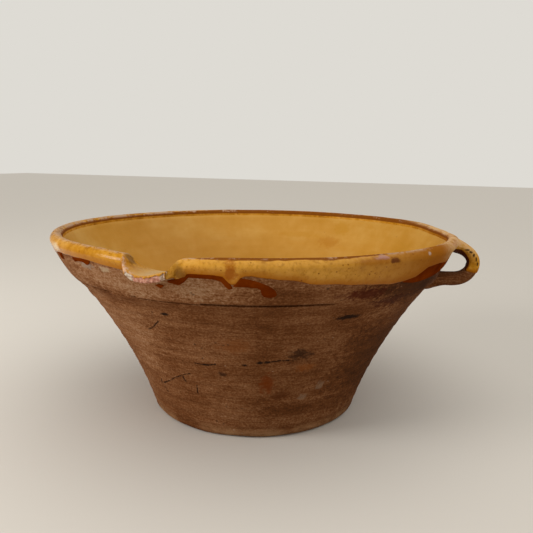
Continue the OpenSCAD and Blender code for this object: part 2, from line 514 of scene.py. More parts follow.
def flat_grid(name: str, along: int, across: int) -> Piece:
    """Makes a flat grid from -1 to 1 both ways.

    Args:
        name: Name of the new piece.
        along: Steps along x.
        across: Steps along y.

    Returns:
        The grid.
    """
    bpy.ops.object.select_all(action="DESELECT")
    bpy.ops.mesh.primitive_grid_add(x_subdivisions=along, y_subdivisions=across, size=2)
    made = bpy.context.object
    made.name = name
    made.data.name = name
    return made


# Finishes


class Node(Enum):
    """The kinds of node that the finishes and the sky are made of."""

    ATTRIBUTE = "ShaderNodeAttribute"
    BUMP = "ShaderNodeBump"
    CELLS = "ShaderNodeTexVoronoi"
    CLAMP = "ShaderNodeClamp"
    COLOUR_PARTS = "ShaderNodeSeparateColor"
    GLOW = "ShaderNodeBackground"
    MATH = "ShaderNodeMath"
    MIX = "ShaderNodeMix"
    MIX_GLOW = "ShaderNodeMixShader"
    NOISE = "ShaderNodeTexNoise"
    PLACE = "ShaderNodeTexCoord"
    PLACE_PARTS = "ShaderNodeSeparateXYZ"
    RAMP = "ShaderNodeValToRGB"
    RANGE = "ShaderNodeMapRange"
    RAY = "ShaderNodeLightPath"
    VECTOR = "ShaderNodeVectorMath"


def linear(colour: str) -> Colour:
    """Turns an sRGB hex colour into the linear one that the renderer takes.

    Args:
        colour: The hex colour.

    Returns:
        Its linear red, green and blue, with full cover.
    """
    parts = [int(colour[i : i + 2], 16) / 255 for i in (1, 3, 5)]
    flat = [p / 12.92 if p <= 0.04045 else ((p + 0.055) / 1.055) ** 2.4 for p in parts]
    return flat[0], flat[1], flat[2], 1.0


def add_node(
    tree: Tree,
    kind: Node,
    inputs: dict[int | str, object] | None = None,
    output: int | str = 0,
    **settings: object,
) -> Socket:
    """Adds a node with its settings and links.

    Args:
        tree: The tree that gets the node.
        kind: The kind of node.
        inputs: Values, hex colours or sockets to link, by the input's name or number.
        output: The output that is wanted.
        **settings: The node's own settings; stops are a ramp's places and hex colours.

    Returns:
        That output of the node.
    """
    made = tree.nodes.new(kind.value)
    for place, (at, colour) in enumerate(settings.pop("stops", ())):
        ramp = made.color_ramp.elements
        stop = ramp[place] if place < len(ramp) else ramp.new(at)
        stop.position = at
        stop.color = linear(colour)
    for name, value in settings.items():
        setattr(made, name, value)
    for key, value in (inputs or {}).items():
        if isinstance(value, Socket):
            tree.links.new(value, made.inputs[key])
        else:
            made.inputs[key].default_value = linear(value) if isinstance(value, str) else value
    return made.outputs[output]


@dataclass(frozen=True)
class Mark:
    """A stain, worn spot or chip: turn in degrees, height, half sizes, colour, strength and distance out."""

    turn: float
    z: float
    across: float
    up: float
    colour: str
    strength: float = 0.8
    out: float = 0


@dataclass(frozen=True)
class Look:
    """What a finish gives its shader."""

    colour: Socket
    roughness: Socket
    height: Socket


@dataclass(frozen=True)
class Finish:
    """A fired surface."""

    name: str
    relief: float
    shine: float = 0.5

    def look(self, tree: Tree, place: Socket) -> Look:
        """Makes the colour, roughness and relief; each finish has its own."""
        raise NotImplementedError

    def material(self) -> bpy.types.Material:
        """Makes the material of this finish.

        Returns:
            The new material.
        """
        made = bpy.data.materials.new(self.name)
        made.use_nodes = True
        tree = made.node_tree
        look = self.look(tree, add_node(tree, Node.PLACE, output="Object"))
        bump = add_node(tree, Node.BUMP, {"Height": look.height, "Distance": self.relief})
        shader = tree.nodes["Principled BSDF"]
        shader.inputs["Specular IOR Level"].default_value = self.shine
        tree.links.new(look.colour, shader.inputs["Base Color"])
        tree.links.new(look.roughness, shader.inputs["Roughness"])
        tree.links.new(bump, shader.inputs["Normal"])
        return made

    def grains(self, tree: Tree, place: Socket, size: Sequence[float], detail: float = 4) -> Socket:
        """Gives a cloudy pattern of grains.

        Args:
            tree: The material's tree.
            place: The place on the piece.
            size: Size of a grain along x, y and z, in millimetres.
            detail: How many times the grains hold finer ones.

        Returns:
            The pattern, from 0 to 1.
        """
        stretch = tuple(1 / (length * MM) for length in size)
        spread = add_node(tree, Node.VECTOR, {0: place, 1: stretch}, operation="MULTIPLY")
        kept = {"Vector": spread, "Scale": 1.0, "Detail": detail, "Roughness": 0.6}
        return add_node(tree, Node.NOISE, kept)

    def where(self, tree: Tree, *steps: tuple[Socket | float, ...]) -> Socket:
        """Gives where soft steps meet.

        Args:
            tree: The material's tree.
            *steps: A value, where it counts as 0, where it counts in full, and how much that is if not 1.

        Returns:
            The product of the steps.
        """
        meet = None
        for value, none, full, *most in steps:
            inputs = {0: value, 1: none, 2: full, 4: most[0] if most else 1.0}
            part = add_node(tree, Node.RANGE, inputs, interpolation_type="SMOOTHSTEP")
            if meet is None:
                meet = part
            else:
                meet = add_node(tree, Node.MATH, {0: meet, 1: part}, operation="MULTIPLY")
        return meet

    def blend(self, tree: Tree, *parts: tuple[Socket, float]) -> Socket:
        """Adds values by their weights.

        Args:
            tree: The material's tree.
            *parts: Values with their weights.

        Returns:
            The sum.
        """
        total = 0.0
        for value, weight in parts:
            total = add_node(tree, Node.MATH, {0: value, 1: weight, 2: total}, operation="MULTIPLY_ADD")
        return total

    def coats(self, tree: Tree, colour: Socket | Colour, *layers: tuple[Socket, Socket | str]) -> Socket:
        """Lays coats over a colour, one by one.

        Args:
            tree: The material's tree.
            colour: The colour below.
            *layers: How far each coat covers, from 0 to 1, with its colour.

        Returns:
            The colour that shows.
        """
        for cover, paint in layers:
            colour = add_node(tree, Node.MIX, {0: cover, 6: colour, 7: paint}, 2, data_type="RGBA")
        return colour

    def facing(self, tree: Tree, place: Socket, turn: float, none: float, full: float) -> Socket:
        """Gives the side of the dish towards one turn.

        Args:
            tree: The material's tree.
            place: The place on the piece.
            turn: The turn in degrees.
            none: Cosine of the angle from it where the side starts.
            full: Cosine of the angle from it where the side counts in full.

        Returns:
            The side as a soft step.
        """
        angle = math.radians(turn)
        aim = (math.sin(angle) / DISH.rim_r, -math.cos(angle) / DISH.rim_r, 0.0)
        cosine = add_node(tree, Node.VECTOR, {0: place, 1: aim}, "Value", operation="DOT_PRODUCT")
        return self.where(tree, (cosine, none, full))

    def marked(
        self, tree: Tree, place: Socket, colour: Socket | Colour, marks: Sequence[Mark], crumb: float = 1.7
    ) -> Socket:
        """Lays marks with ragged edges over a colour.

        Args:
            tree: The material's tree.
            place: The place on the piece.
            colour: The colour below.
            marks: The marks.
            crumb: How far fine crumbs break the marks up.

        Returns:
            The colour with its marks.
        """
        torn = {"Vector": place, "Scale": 1 / (7.69 * MM), "Detail": 8.0, "Roughness": 0.7}
        ragged = add_node(tree, Node.NOISE, torn, "Color")
        shift = add_node(tree, Node.VECTOR, {0: ragged, 1: (0.5, 0.5, 0.5)}, operation="SUBTRACT")
        fine = self.grains(tree, place, (3.85, 3.85, 2.38), 5)
        for mark in marks:
            middle = DISH.place(mark.turn, mark.z, mark.out)
            shrink = (1 / mark.across, 1 / mark.across, 1 / mark.up)
            away = add_node(tree, Node.VECTOR, {0: place, 1: middle}, operation="SUBTRACT")
            away = add_node(tree, Node.VECTOR, {0: away, 1: shrink}, operation="MULTIPLY")
            shifted = {0: shift, 1: (2.0, 2.0, 2.0), 2: away}
            away = add_node(tree, Node.VECTOR, shifted, operation="MULTIPLY_ADD")
            length = add_node(tree, Node.VECTOR, {0: away}, "Value", operation="LENGTH")
            length = self.blend(tree, (length, 1.0), (fine, crumb))
            cover = self.where(tree, (length, 1.15 + crumb / 2, 0.45 + crumb / 2, mark.strength))
            colour = self.coats(tree, colour, (cover, mark.colour))
        return colour


@dataclass(frozen=True)
class Earthenware(Finish):
    """Unglazed red clay: matt brown gone grey, with wheel lines, grit, pits, cracks and stains, and painted
    light and shade by side.
    """

    name: str = "fired_red_earthenware"
    relief: float = 0.8 * MM
    shine: float = 0.03
    dark: str = "#3b2110"
    brown: str = "#643a1d"
    fawn: str = "#865b3b"
    grey: str = "#a98768"
    marks: tuple[Mark, ...] = ()
    # The tones lay painted light and shade over the clay by side
    tones: tuple[Mark, ...] = ()
    cracks: tuple[tuple[tuple[float, float], ...], ...] = ()

    def look(self, tree: Tree, place: Socket) -> Look:
        """Makes mottled brown clay with wheel lines, dark pits, cracks and pale grit, and painted light and
        shade from its tones.

        Args:
            tree: The material's tree.
            place: The place on the piece.

        Returns:
            The colour, roughness and relief.
        """
        streak = self.grains(tree, place, (111, 111, 7.69), 6)
        scratch = self.grains(tree, place, (12.5, 12.5, 1.43))
        blotch = self.grains(tree, place, (50, 50, 38.5), 8)
        grit = self.grains(tree, place, (1.92, 1.92, 1.61))
        # Painted light and shade: the tones make a grey paler or darker by side, which shifts the clay's
        # colour
        toned = self.marked(tree, place, (0.5, 0.5, 0.5, 1.0), self.tones)
        tone = add_node(tree, Node.COLOUR_PARTS, {0: toned})
        mixed = self.blend(tree, (streak, 0.17), (scratch, 0.2), (blotch, 0.3), (grit, 0.4), (tone, 0.3))
        stops = ((0.49, self.dark), (0.65, self.brown), (0.765, self.fawn), (0.9, self.grey))
        colour = add_node(tree, Node.RAMP, {0: mixed}, stops=stops)
        colour = self.marked(tree, place, colour, self.marks)
        up = add_node(tree, Node.PLACE_PARTS, {0: place}, "Z")
        rubbed = self.where(tree, (up, 16 * MM, 2 * MM, 0.9), (blotch, 0.4, 0.62))
        pits = add_node(tree, Node.CELLS, {"Vector": place, "Scale": 1 / (6.67 * MM)})
        pit = self.where(tree, (pits, 0.24, 0.1, 0.6), (blotch, 0.55, 0.66))
        specks = add_node(tree, Node.CELLS, {"Vector": place, "Scale": 1 / (11.1 * MM)})
        lime = self.where(tree, (specks, 0.1, 0.05, 0.55), (scratch, 0.55, 0.62))
        crack = self.crack(tree, place)
        colour = self.coats(
            tree, colour, (rubbed, "#9a7551"), (pit, "#2a180d"), (lime, "#b9a48c"), (crack, "#1d110a")
        )
        height = self.blend(tree, (streak, 0.5), (scratch, 0.35), (grit, 0.45), (pit, -1.33), (crack, -1.0))
        rough = add_node(tree, Node.RANGE, {0: blotch, 3: 0.95, 4: 0.72})
        return Look(colour, rough, height)

    def crack(self, tree: Tree, place: Socket) -> Socket:
        """Makes the fine crooked cracks, each along its row of turns and heights.

        Args:
            tree: The material's tree.
            place: The place on the piece.

        Returns:
            Where the cracks are, from 0 to 1.
        """
        wild = {"Vector": place, "Scale": 1 / (6.25 * MM), "Detail": 6.0, "Roughness": 0.7}
        bent = add_node(tree, Node.NOISE, wild, "Color")
        shift = add_node(tree, Node.VECTOR, {0: bent, 1: (0.5, 0.5, 0.5)}, operation="SUBTRACT")
        reach = (4 * MM, 4 * MM, 4 * MM)
        crooked = add_node(tree, Node.VECTOR, {0: shift, 1: reach, 2: place}, operation="MULTIPLY_ADD")
        nearest = 1.0
        for line in self.cracks:
            points = [DISH.place(turn, z * MM) for turn, z in line]
            for begin, end in zip(points, points[1:]):
                run = end - begin
                aim = run / run.length_squared
                away = add_node(tree, Node.VECTOR, {0: crooked, 1: begin}, operation="SUBTRACT")
                share = add_node(tree, Node.VECTOR, {0: away, 1: aim}, "Value", operation="DOT_PRODUCT")
                share = add_node(tree, Node.CLAMP, {0: share})
                foot = add_node(tree, Node.VECTOR, {0: run, "Scale": share}, operation="SCALE")
                gap = add_node(tree, Node.VECTOR, {0: away, 1: foot}, "Value", operation="DISTANCE")
                nearest = add_node(tree, Node.MATH, {0: nearest, 1: gap}, operation="MINIMUM")
        broken = bent.node.outputs["Fac"]
        return self.where(tree, (nearest, 1.05 * MM, 0.4 * MM, 0.85), (broken, 0.36, 0.46))


@dataclass(frozen=True)
class YellowGlaze(Finish):
    """Yellow lead glaze over pale slip: smooth and clouded inside the bowl, with a few brown flecks."""

    name: str = "yellow_lead_glaze"
    relief: float = 0.3 * MM
    shine: float = 0.15
    deep: str = "#b07a1c"
    ochre: str = "#b98530"
    pale: str = "#c29344"
    amber: str = "#733b02"
    mottle: float = 0.2
    gloss: tuple[float, float] = (0.4, 0.5)
    marks: tuple[Mark, ...] = ()

    def base(self, tree: Tree, place: Socket) -> tuple[Socket, Socket]:
        """Makes the flecked yellow and the wave under it.

        Args:
            tree: The material's tree.
            place: The place on the piece.

        Returns:
            The colour and the wave.
        """
        cloud = self.grains(tree, place, (90.9, 90.9, 66.7), 3)
        brush = self.grains(tree, place, (200, 200, 11.1), 3)
        curd = self.grains(tree, place, (11.76, 11.76, 16.67), 5)
        wave = self.grains(tree, place, (16.67, 16.67, 16.67), 1)
        mixed = self.blend(tree, (cloud, 0.85 - self.mottle), (brush, 0.15), (curd, self.mottle))
        stops = ((0.36, self.deep), (0.5, self.ochre), (0.64, self.pale))
        colour = add_node(tree, Node.RAMP, {0: mixed}, stops=stops)
        flecks = add_node(tree, Node.CELLS, {"Vector": place, "Scale": 1 / (23.8 * MM)})
        fleck = self.where(tree, (flecks, 0.08, 0.04, 0.7), (curd, 0.56, 0.62))
        return self.coats(tree, colour, (fleck, self.amber)), wave

    def look(self, tree: Tree, place: Socket) -> Look:
        """Makes the lining inside the bowl.

        Args:
            tree: The material's tree.
            place: The place on the piece.

        Returns:
            The colour, roughness and relief.
        """
        colour, wave = self.base(tree, place)
        colour = self.marked(tree, place, colour, self.marks, 0.4)
        low, high = self.gloss
        return Look(colour, add_node(tree, Node.RANGE, {0: wave, 3: low, 4: high}), wave)


@dataclass(frozen=True)
class RimGlaze(YellowGlaze):
    """The yellow glaze over the rim: glassy, brown where it thins, rubbed pale on the crest, with painted
    light on the front and painted shade on the right.
    """

    name: str = "yellow_lead_glaze_rim"
    relief: float = 0.5 * MM
    shine: float = 0.1
    deep: str = "#8a5203"
    ochre: str = "#bb801c"
    pale: str = "#d39c46"
    mottle: float = 0.5
    gloss: tuple[float, float] = (0.12, 0.24)
    rubbed: str = "#b18f70"
    # How far the painted shade darkens the side towards the right
    shade: float = 0.95

    def look(self, tree: Tree, place: Socket) -> Look:
        """Makes the rim's glaze from its distance to the edge and its place over the crest.

        Args:
            tree: The material's tree.
            place: The place on the piece.

        Returns:
            The colour, roughness and relief.
        """
        colour, wave = self.base(tree, place)
        kept = ("fall", "over", "cream", "rubbed")
        fall, over, cream, flaked = (
            add_node(tree, Node.ATTRIBUTE, output="Fac", attribute_name=name) for name in kept
        )
        patchy = self.grains(tree, place, (20.83, 20.83, 12.5), 5)
        fine = self.grains(tree, place, (3.03, 3.03, 3.03), 3)
        left = self.facing(tree, place, -67, 0.1, 0.8)
        front = self.facing(tree, place, 35, 0.84, 0.94)
        right = self.facing(tree, place, 88, 0.6, 1.0)
        ragged = self.blend(tree, (fall, 1.0), (patchy, -4 * MM))
        specks = add_node(tree, Node.CELLS, {"Vector": place, "Scale": 1 / (5.88 * MM)})
        inner = self.blend(tree, (over, 1.0), (patchy, -0.08), (front, -0.075), (left, 0.05), (right, 0.07))
        inner = self.where(tree, (inner, 0.355, 0.335, 0.95), (over, 0.276, 0.29))
        bare = self.blend(tree, (patchy, 0.6), (fine, 0.4), (left, 0.09), (right, 0.06))
        worn = self.where(tree, (over, 0.3, 0.34), (over, 0.47, 0.4), (bare, 0.54, 0.6, 0.85))
        thick = self.where(tree, (patchy, 0.2, 0.55, 0.9))
        crumbs = self.where(tree, (fine, 0.4, 0.6, 0.9))
        colour = self.coats(
            tree, colour,
            # Painted light: the side towards the front made paler
            (self.blend(tree, (front, 0.42)), self.pale),
            (self.where(tree, (fine, 0.5, 0.7, 0.35)), self.pale),
            (self.where(tree, (fine, 0.5, 0.32, 0.4)), self.deep),
            (self.where(tree, (ragged, 8 * MM, -1.5 * MM, 0.9)), "#9c5900"),
            # Painted shade: the side towards the right darkened to deep amber, by shade
            (self.blend(tree, (right, self.shade)), "#8d4f00"),
            (self.where(tree, (specks, 0.17, 0.09, 0.85), (patchy, 0.44, 0.54)), self.amber),
            (self.where(tree, (ragged, -0.6 * MM, -1.9 * MM, 0.95)), self.amber),
            (inner, self.amber),
            (worn, self.rubbed),
            (add_node(tree, Node.MATH, {0: cream, 1: thick}, operation="MULTIPLY"), "#c9a062"),
            (add_node(tree, Node.MATH, {0: flaked, 1: crumbs}, operation="MULTIPLY"), "#c79f83"),
        )
        colour = self.marked(tree, place, colour, self.marks, 0.4)
        low, high = self.gloss
        glassy = add_node(tree, Node.RANGE, {0: wave, 3: low, 4: high})
        rough = self.blend(tree, (glassy, 1.0), (worn, 0.5))
        for matt in (inner, right, self.where(tree, (over, 0.32, 0.29))):
            matt = self.blend(tree, (matt, 0.95))
            rough = add_node(tree, Node.MATH, {0: rough, 1: matt}, operation="MAXIMUM")
        return Look(colour, rough, wave)


@dataclass(frozen=True)
class AmberGlaze(Finish):
    """Lead glaze straight on red clay, with no slip below: dark clear amber."""

    name: str = "amber_lead_glaze"
    relief: float = 0.2 * MM
    shine: float = 0.0
    dark: str = "#561d02"
    amber: str = "#6f2d03"

    def look(self, tree: Tree, place: Socket) -> Look:
        """Makes clouded amber.

        Args:
            tree: The material's tree.
            place: The place on the piece.

        Returns:
            The colour, roughness and relief.
        """
        cloud = self.grains(tree, place, (16.67, 16.67, 16.67), 3)
        colour = add_node(tree, Node.RAMP, {0: cloud}, stops=((0.35, self.dark), (0.65, self.amber)))
        return Look(colour, add_node(tree, Node.RANGE, {0: cloud, 3: 0.15, 4: 0.25}), cloud)


@dataclass(frozen=True)
class BrokenClay(Finish):
    """The old break along the lip: grey-white at the left, pink in the middle, rough and matt."""

    name: str = "broken_earthenware"
    relief: float = 0.8 * MM
    shine: float = 0.1
    pinks: tuple[str, str, str] = ("#96604e", "#b27a65", "#c89c86")
    whites: tuple[str, str, str] = ("#8f7460", "#b39c86", "#cfbfab")

    def look(self, tree: Tree, place: Socket) -> Look:
        """Makes crumbly clay whose colour changes along the lip.

        Args:
            tree: The material's tree.
            place: The place on the piece.

        Returns:
            The colour, roughness and relief.
        """
        cloud = self.grains(tree, place, (8.33, 8.33, 8.33))
        crumb = self.grains(tree, place, (2.33, 2.33, 2.33))
        along = add_node(tree, Node.PLACE_PARTS, {0: place}, "X")
        torn = self.blend(tree, (along, 1.0), (cloud, 9 * MM))
        white = add_node(tree, Node.RAMP, {0: crumb}, stops=tuple(zip((0.36, 0.48, 0.64), self.whites)))
        pink = add_node(tree, Node.RAMP, {0: crumb}, stops=tuple(zip((0.34, 0.48, 0.66), self.pinks)))
        middle = self.where(tree, (torn, -6 * MM, -3 * MM))
        right = self.where(tree, (torn, 19 * MM, 21 * MM, 0.85))
        colour = self.coats(tree, white, (middle, pink), (right, white))
        return Look(colour, add_node(tree, Node.RANGE, {0: crumb, 3: 0.85, 4: 1.0}), crumb)


DISH = DishSizes.from_frame()
LIP = LipShape()
STRAPS = (StrapShape(math.radians(105)), StrapShape(math.radians(-105)))


# Marks that this dish has got in the kiln and in use, and painted light and shade

# Paler and darker parts of the clay: painted light on the left of the wall and the left and front of the
# collar, painted shade on the right, and a darker patch low at the front right
TONES = (
    # Painted light: the left of the wall and the left and front of the collar paler
    Mark(-30, 118 * MM, 75 * MM, 60 * MM, "#ffffff", 0.45),
    Mark(-4, 181 * MM, 120 * MM, 20 * MM, "#ffffff", 0.72),
    Mark(38, 36 * MM, 34 * MM, 11 * MM, "#000000", 0.5),
    # Painted shade: the right of the wall and of the collar darker
    Mark(78, 95 * MM, 75 * MM, 100 * MM, "#000000", 0.7),
    Mark(68, 172 * MM, 66 * MM, 24 * MM, "#000000", 0.8),
)
# Stains and pits of the clay, and painted shade on the right of the collar
STAINS = (
    Mark(-21, 188.5 * MM, 11 * MM, 4 * MM, "#8a7a6b", 0.6),
    Mark(-14, 187 * MM, 9 * MM, 3.5 * MM, "#b09a7c", 0.6),
    Mark(37.7, 104 * MM, 13 * MM, 9 * MM, "#25140b", 0.75),
    Mark(40.7, 88 * MM, 12 * MM, 6 * MM, "#874716", 0.4),
    Mark(27.4, 70 * MM, 8 * MM, 20 * MM, "#6a2e08", 0.8),
    Mark(33, 55 * MM, 10 * MM, 7 * MM, "#4a2208", 0.6),
    Mark(16, 116 * MM, 18 * MM, 11 * MM, "#7a4520", 0.5),
    Mark(43.5, 50 * MM, 6 * MM, 5 * MM, "#8f7862", 0.4),
    Mark(50.4, 62 * MM, 5 * MM, 7 * MM, "#8f7862", 0.4),
    Mark(10.5, 81 * MM, 5 * MM, 3.5 * MM, "#2a180e", 0.7),
    Mark(26.5, 97 * MM, 4 * MM, 2 * MM, "#1b110c", 0.9),
    Mark(48.6, 145 * MM, 15 * MM, 3.5 * MM, "#1b110c", 0.9),
    Mark(49.5, 170.5 * MM, 28 * MM, 7 * MM, "#47190a", 0.85),
    Mark(61, 158 * MM, 24 * MM, 9 * MM, "#43190c", 0.7),
    # Painted shade: the right of the collar darker
    Mark(66, 172 * MM, 56 * MM, 20 * MM, "#3a2010", 0.5),
    Mark(-2.5, 147 * MM, 4.4 * MM, 2.4 * MM, "#1b110c", 0.95),
    Mark(5.1, 90.6 * MM, 3.5 * MM, 1.6 * MM, "#1b110c", 0.9),
    Mark(19, 93.7 * MM, 3 * MM, 1.6 * MM, "#1b110c", 0.9),
    Mark(24, 96.7 * MM, 4 * MM, 2 * MM, "#1b110c", 0.9),
)
# Cracks, each a row of turns in degrees and heights in millimetres
CRACKS = (
    ((-6.4, 136.2), (-8.3, 131.8), (-9.2, 129.6), (-11.3, 125.4), (-12.8, 123)),
    ((-21, 53), (-16, 59.5), (-11.8, 65.7), (-7, 72), (-2.9, 76)),
    ((-21, 42), (-23, 50), (-22, 57)),
    ((-7, 72), (-6.5, 64)),
    ((-1.5, 62), (-2.2, 50)),
    ((1, 91), (5, 91), (9, 92.5)),
    ((27.5, 97.5), (31, 99), (34.5, 98.6)),
)
# Streaks in the lining
STREAKS = (
    Mark(169, 165 * MM, 19 * MM, 10 * MM, "#a86a00", 0.55, -12.6 * MM),
    Mark(-176.6, 172.8 * MM, 42 * MM, 5 * MM, "#b0780a", 0.45, -14.3 * MM),
    Mark(165, 184 * MM, 15 * MM, 13 * MM, "#ae7808", 0.45, -14 * MM),
    Mark(-107.5, 163.7 * MM, 2.4 * MM, 2.4 * MM, "#7a4a10", 0.8, -12.6 * MM),
)
# Chips and worn or browned spots of the rim's glaze, and a painted shadow inside the lip's curl
CHIPS = (
    Mark(50.9, 204.2 * MM, 9 * MM, 2 * MM, "#ad8177", 0.85),
    Mark(54.3, 200.7 * MM, 5.5 * MM, 2.6 * MM, "#5e2d05", 0.95),
    Mark(66.5, 202.9 * MM, 3.2 * MM, 2.6 * MM, "#b5a598", 0.9),
    Mark(17.3, 194 * MM, 6 * MM, 11 * MM, "#944c00", 0.88),
    Mark(49, 201.5 * MM, 24 * MM, 3.5 * MM, "#8c4c00", 0.5),
    Mark(6.6, 190 * MM, 6 * MM, 9 * MM, "#6b3f04", 0.6, 2 * MM),
    # Painted shadow inside the curl of the lip
    Mark(-6, 200.3 * MM, 8 * MM, 7 * MM, "#6e480f", 0.75, -6 * MM),
    Mark(-24, 195 * MM, 70 * MM, 12 * MM, "#a2690a", 0.45),
    Mark(-36, 198 * MM, 14 * MM, 5 * MM, "#dcc9a4", 0.6),
    Mark(102, 187.5 * MM, 3 * MM, 1.3 * MM, "#231207", 0.9, 16 * MM),
    Mark(102, 185.3 * MM, 2.6 * MM, 1.6 * MM, "#231207", 0.9, 21 * MM),
    Mark(102, 182 * MM, 1.6 * MM, 2.6 * MM, "#231207", 0.9, 26 * MM),
    Mark(102, 178 * MM, 1.3 * MM, 3.2 * MM, "#231207", 0.9, 31 * MM),
    Mark(102, 172.5 * MM, 1.2 * MM, 2.6 * MM, "#231207", 0.85, 35.6 * MM),
)


# The rim as a surface


@dataclass(frozen=True)
class RimSurface:
    """The rim by turn and by place over it: 0 inside at the groove, 1 outside at the groove.

    The crest lies between crest_from and crest_to; on the lip, bend_end, nose_from and nose_to divide it.
    Pull, dip, press and sink say how far the band was moved by hand, and coat_room is left for the glaze.
    """

    crest_from: float = 0.25
    crest_to: float = 0.55
    pull: float = 1.6 * MM
    dip: float = 2.2 * MM
    dip_turn: float = math.radians(113)
    press: float = 4.2 * MM
    press_turn: float = math.radians(99)
    sink: float = 1.6 * MM
    coat_room: float = 0.5 * MM
    bend_end: float = 0.12
    nose_from: float = 0.55
    nose_to: float = 0.7

    def sag(self, turn: np.ndarray) -> np.ndarray:
        """How far the hand-made crest lies under its highest.

        Args:
            turn: Turns in radians.

        Returns:
            How far it drops.
        """
        lean = 0.5 * MM * (1 + np.cos(turn - math.radians(200)))
        off = np.abs((turn - self.dip_turn + math.pi) % (2 * math.pi) - math.pi)
        lean = lean + self.dip * smooth(math.radians(19), math.radians(3), off)
        off = np.abs((turn + math.pi) % (2 * math.pi) - math.pi)
        lean = lean + self.pull * smooth(math.radians(18), math.radians(7), off)
        return lean + 0.15 * MM * (1 + uneven(turn, 3, 3, 9)) + 0.12 * MM * (1 + uneven(turn, 5, 14, 40))

    def filled(self, turn: np.ndarray) -> np.ndarray:
        """How far slurry has filled the groove under the band, from 0 to 1."""
        right = smooth(*np.radians((34, 52)), turn) * smooth(*np.radians((112, 95)), turn)
        return 0.9 * np.maximum(right, smooth(0.2, 0.9, uneven(turn, 29, 5, 24)))

    def band(self, turn: np.ndarray, over: np.ndarray) -> tuple[np.ndarray, np.ndarray]:
        """Gives radius and height of the band away from the spout.

        Args:
            turn: Turns in radians.
            over: Places over the rim.

        Returns:
            Radii and heights.
        """
        inside = over < self.crest_from
        outside = over >= self.crest_to
        tall = DISH.crest_foot_z - DISH.groove_z
        z_in = DISH.groove_z + tall * over / self.crest_from
        z_out = DISH.crest_foot_z - tall * (over - self.crest_to) / (1 - self.crest_to)
        angle = math.pi * (1 - (over - self.crest_from) / (self.crest_to - self.crest_from))
        crest_r = DISH.rim_r - DISH.rim_t / 2 + DISH.rim_t / 2 * np.cos(angle)
        crest_z = DISH.crest_foot_z + DISH.crest_rise * np.sin(angle)
        r = np.where(inside, DISH.inner_r(z_in), np.where(outside, DISH.band_r(z_out), crest_r))
        z = np.where(inside, z_in, np.where(outside, z_out, crest_z))
        r = r + 0.35 * MM * uneven(turn, 7, 3, 12) * smooth(0.3, 0.6, over) * smooth(1.0, 0.9, over)
        thumbed = smooth(*np.radians((26, 6)), np.abs(turn - self.press_turn))
        r = r - self.press * thumbed * smooth(0.5, 0.62, over) * smooth(1.06, 0.84, over)
        strapped = smooth(math.radians(12), 0, np.abs(turn - STRAPS[0].turn))
        z = z - self.sink * strapped * smooth(0.38, 0.5, over) * smooth(0.8, 0.6, over)
        r = r - self.coat_room * smooth(0.5, 0.7, over)
        z = z - self.sag(turn) * smooth(DISH.groove_z, DISH.crest_z, z)
        return r, z

    def lip(self, turn: np.ndarray, over: np.ndarray) -> tuple[np.ndarray, np.ndarray]:
        """Gives radius and height of the pulled lip.

        Args:
            turn: Turns in radians, near the spout.
            over: Places over the rim.

        Returns:
            Radii and heights.
        """
        along = turn * DISH.rim_r
        top = LIP.top.level(along)
        under = LIP.low.level(along)
        sill = LIP.sill.level(along)
        reach = DISH.lip_r - 0.6 * MM - 7 * MM * smooth(-12 * MM, -25 * MM, along) ** 2
        reach = reach - 2.2 * MM * smooth(8 * MM, 22 * MM, along)
        bend = 3 * MM
        inner = DISH.inner_r(sill - bend)
        part = np.clip((over - self.crest_from) / (self.crest_to - self.crest_from), 0, 1)
        z_in = DISH.groove_z + (sill - bend - DISH.groove_z) * np.clip(over / self.crest_from, 0, 1)
        quarter = math.pi * (1 - 0.5 * np.clip(part / self.bend_end, 0, 1))
        r_bend = inner + bend + bend * np.cos(quarter)
        z_bend = sill - bend + bend * np.sin(quarter)
        edge = 1.3 * MM
        run = np.clip((part - self.bend_end) / (self.nose_from - self.bend_end), 0, 1)
        r_floor = inner + bend + (reach - edge - inner - bend) * run
        z_floor = sill + (top - sill) * smooth(0, 1, run)
        nose = math.pi * (0.5 - np.clip((part - self.nose_from) / (self.nose_to - self.nose_from), 0, 1))
        middle = (top + under) / 2
        half = (top - under) / 2
        r_nose = reach - edge + edge * np.cos(nose)
        z_nose = middle + half * np.sign(np.sin(nose)) * np.abs(np.sin(nose)) ** 0.7
        back = np.clip((part - self.nose_to) / (1 - self.nose_to), 0, 1)
        drop = 2 * MM
        root = under - drop
        r_back = reach - edge + (DISH.band_r(root) - self.coat_room - reach + edge) * back
        z_back = under - drop * back ** 3
        z_out = root - (root - DISH.groove_z) * np.clip((over - self.crest_to) / (1 - self.crest_to), 0, 1)
        r_out = DISH.band_r(z_out) - self.coat_room
        ends = (self.bend_end, self.nose_from, self.nose_to, 1)
        places = [over < self.crest_from] + [part < end for end in ends]
        r = np.select(places, (DISH.inner_r(z_in), r_bend, r_floor, r_nose, r_back), r_out)
        z = np.select(places, (z_in, z_bend, z_floor, z_nose, z_back), z_out)
        plain_r, plain_z = self.band(turn, over)
        share = np.clip(LIP.share.level(along), 0, 1)
        return plain_r + (r - plain_r) * share, plain_z + (z - plain_z) * share

    def point(self, turn: np.ndarray, over: np.ndarray, lift: np.ndarray, spout: bool) -> Spots:
        """Gives a point on the rim or lifted off it.

        Args:
            turn: Turns in radians.
            over: Places over the rim.
            lift: Distances off the clay.
            spout: Whether the pulled lip is meant, or the band.

        Returns:
            Turns, radii and heights.
        """
        shape = self.lip if spout else self.band
        gap = 0.004
        r, z = shape(turn, over)
        r_on, z_on = shape(turn, np.minimum(over + gap, 1))
        r_off, z_off = shape(turn, np.maximum(over - gap, 0))
        length = np.hypot(r_on - r_off, z_on - z_off)
        r = r - (z_on - z_off) / length * lift
        z = z + (r_on - r_off) / length * lift
        return turn, r, z


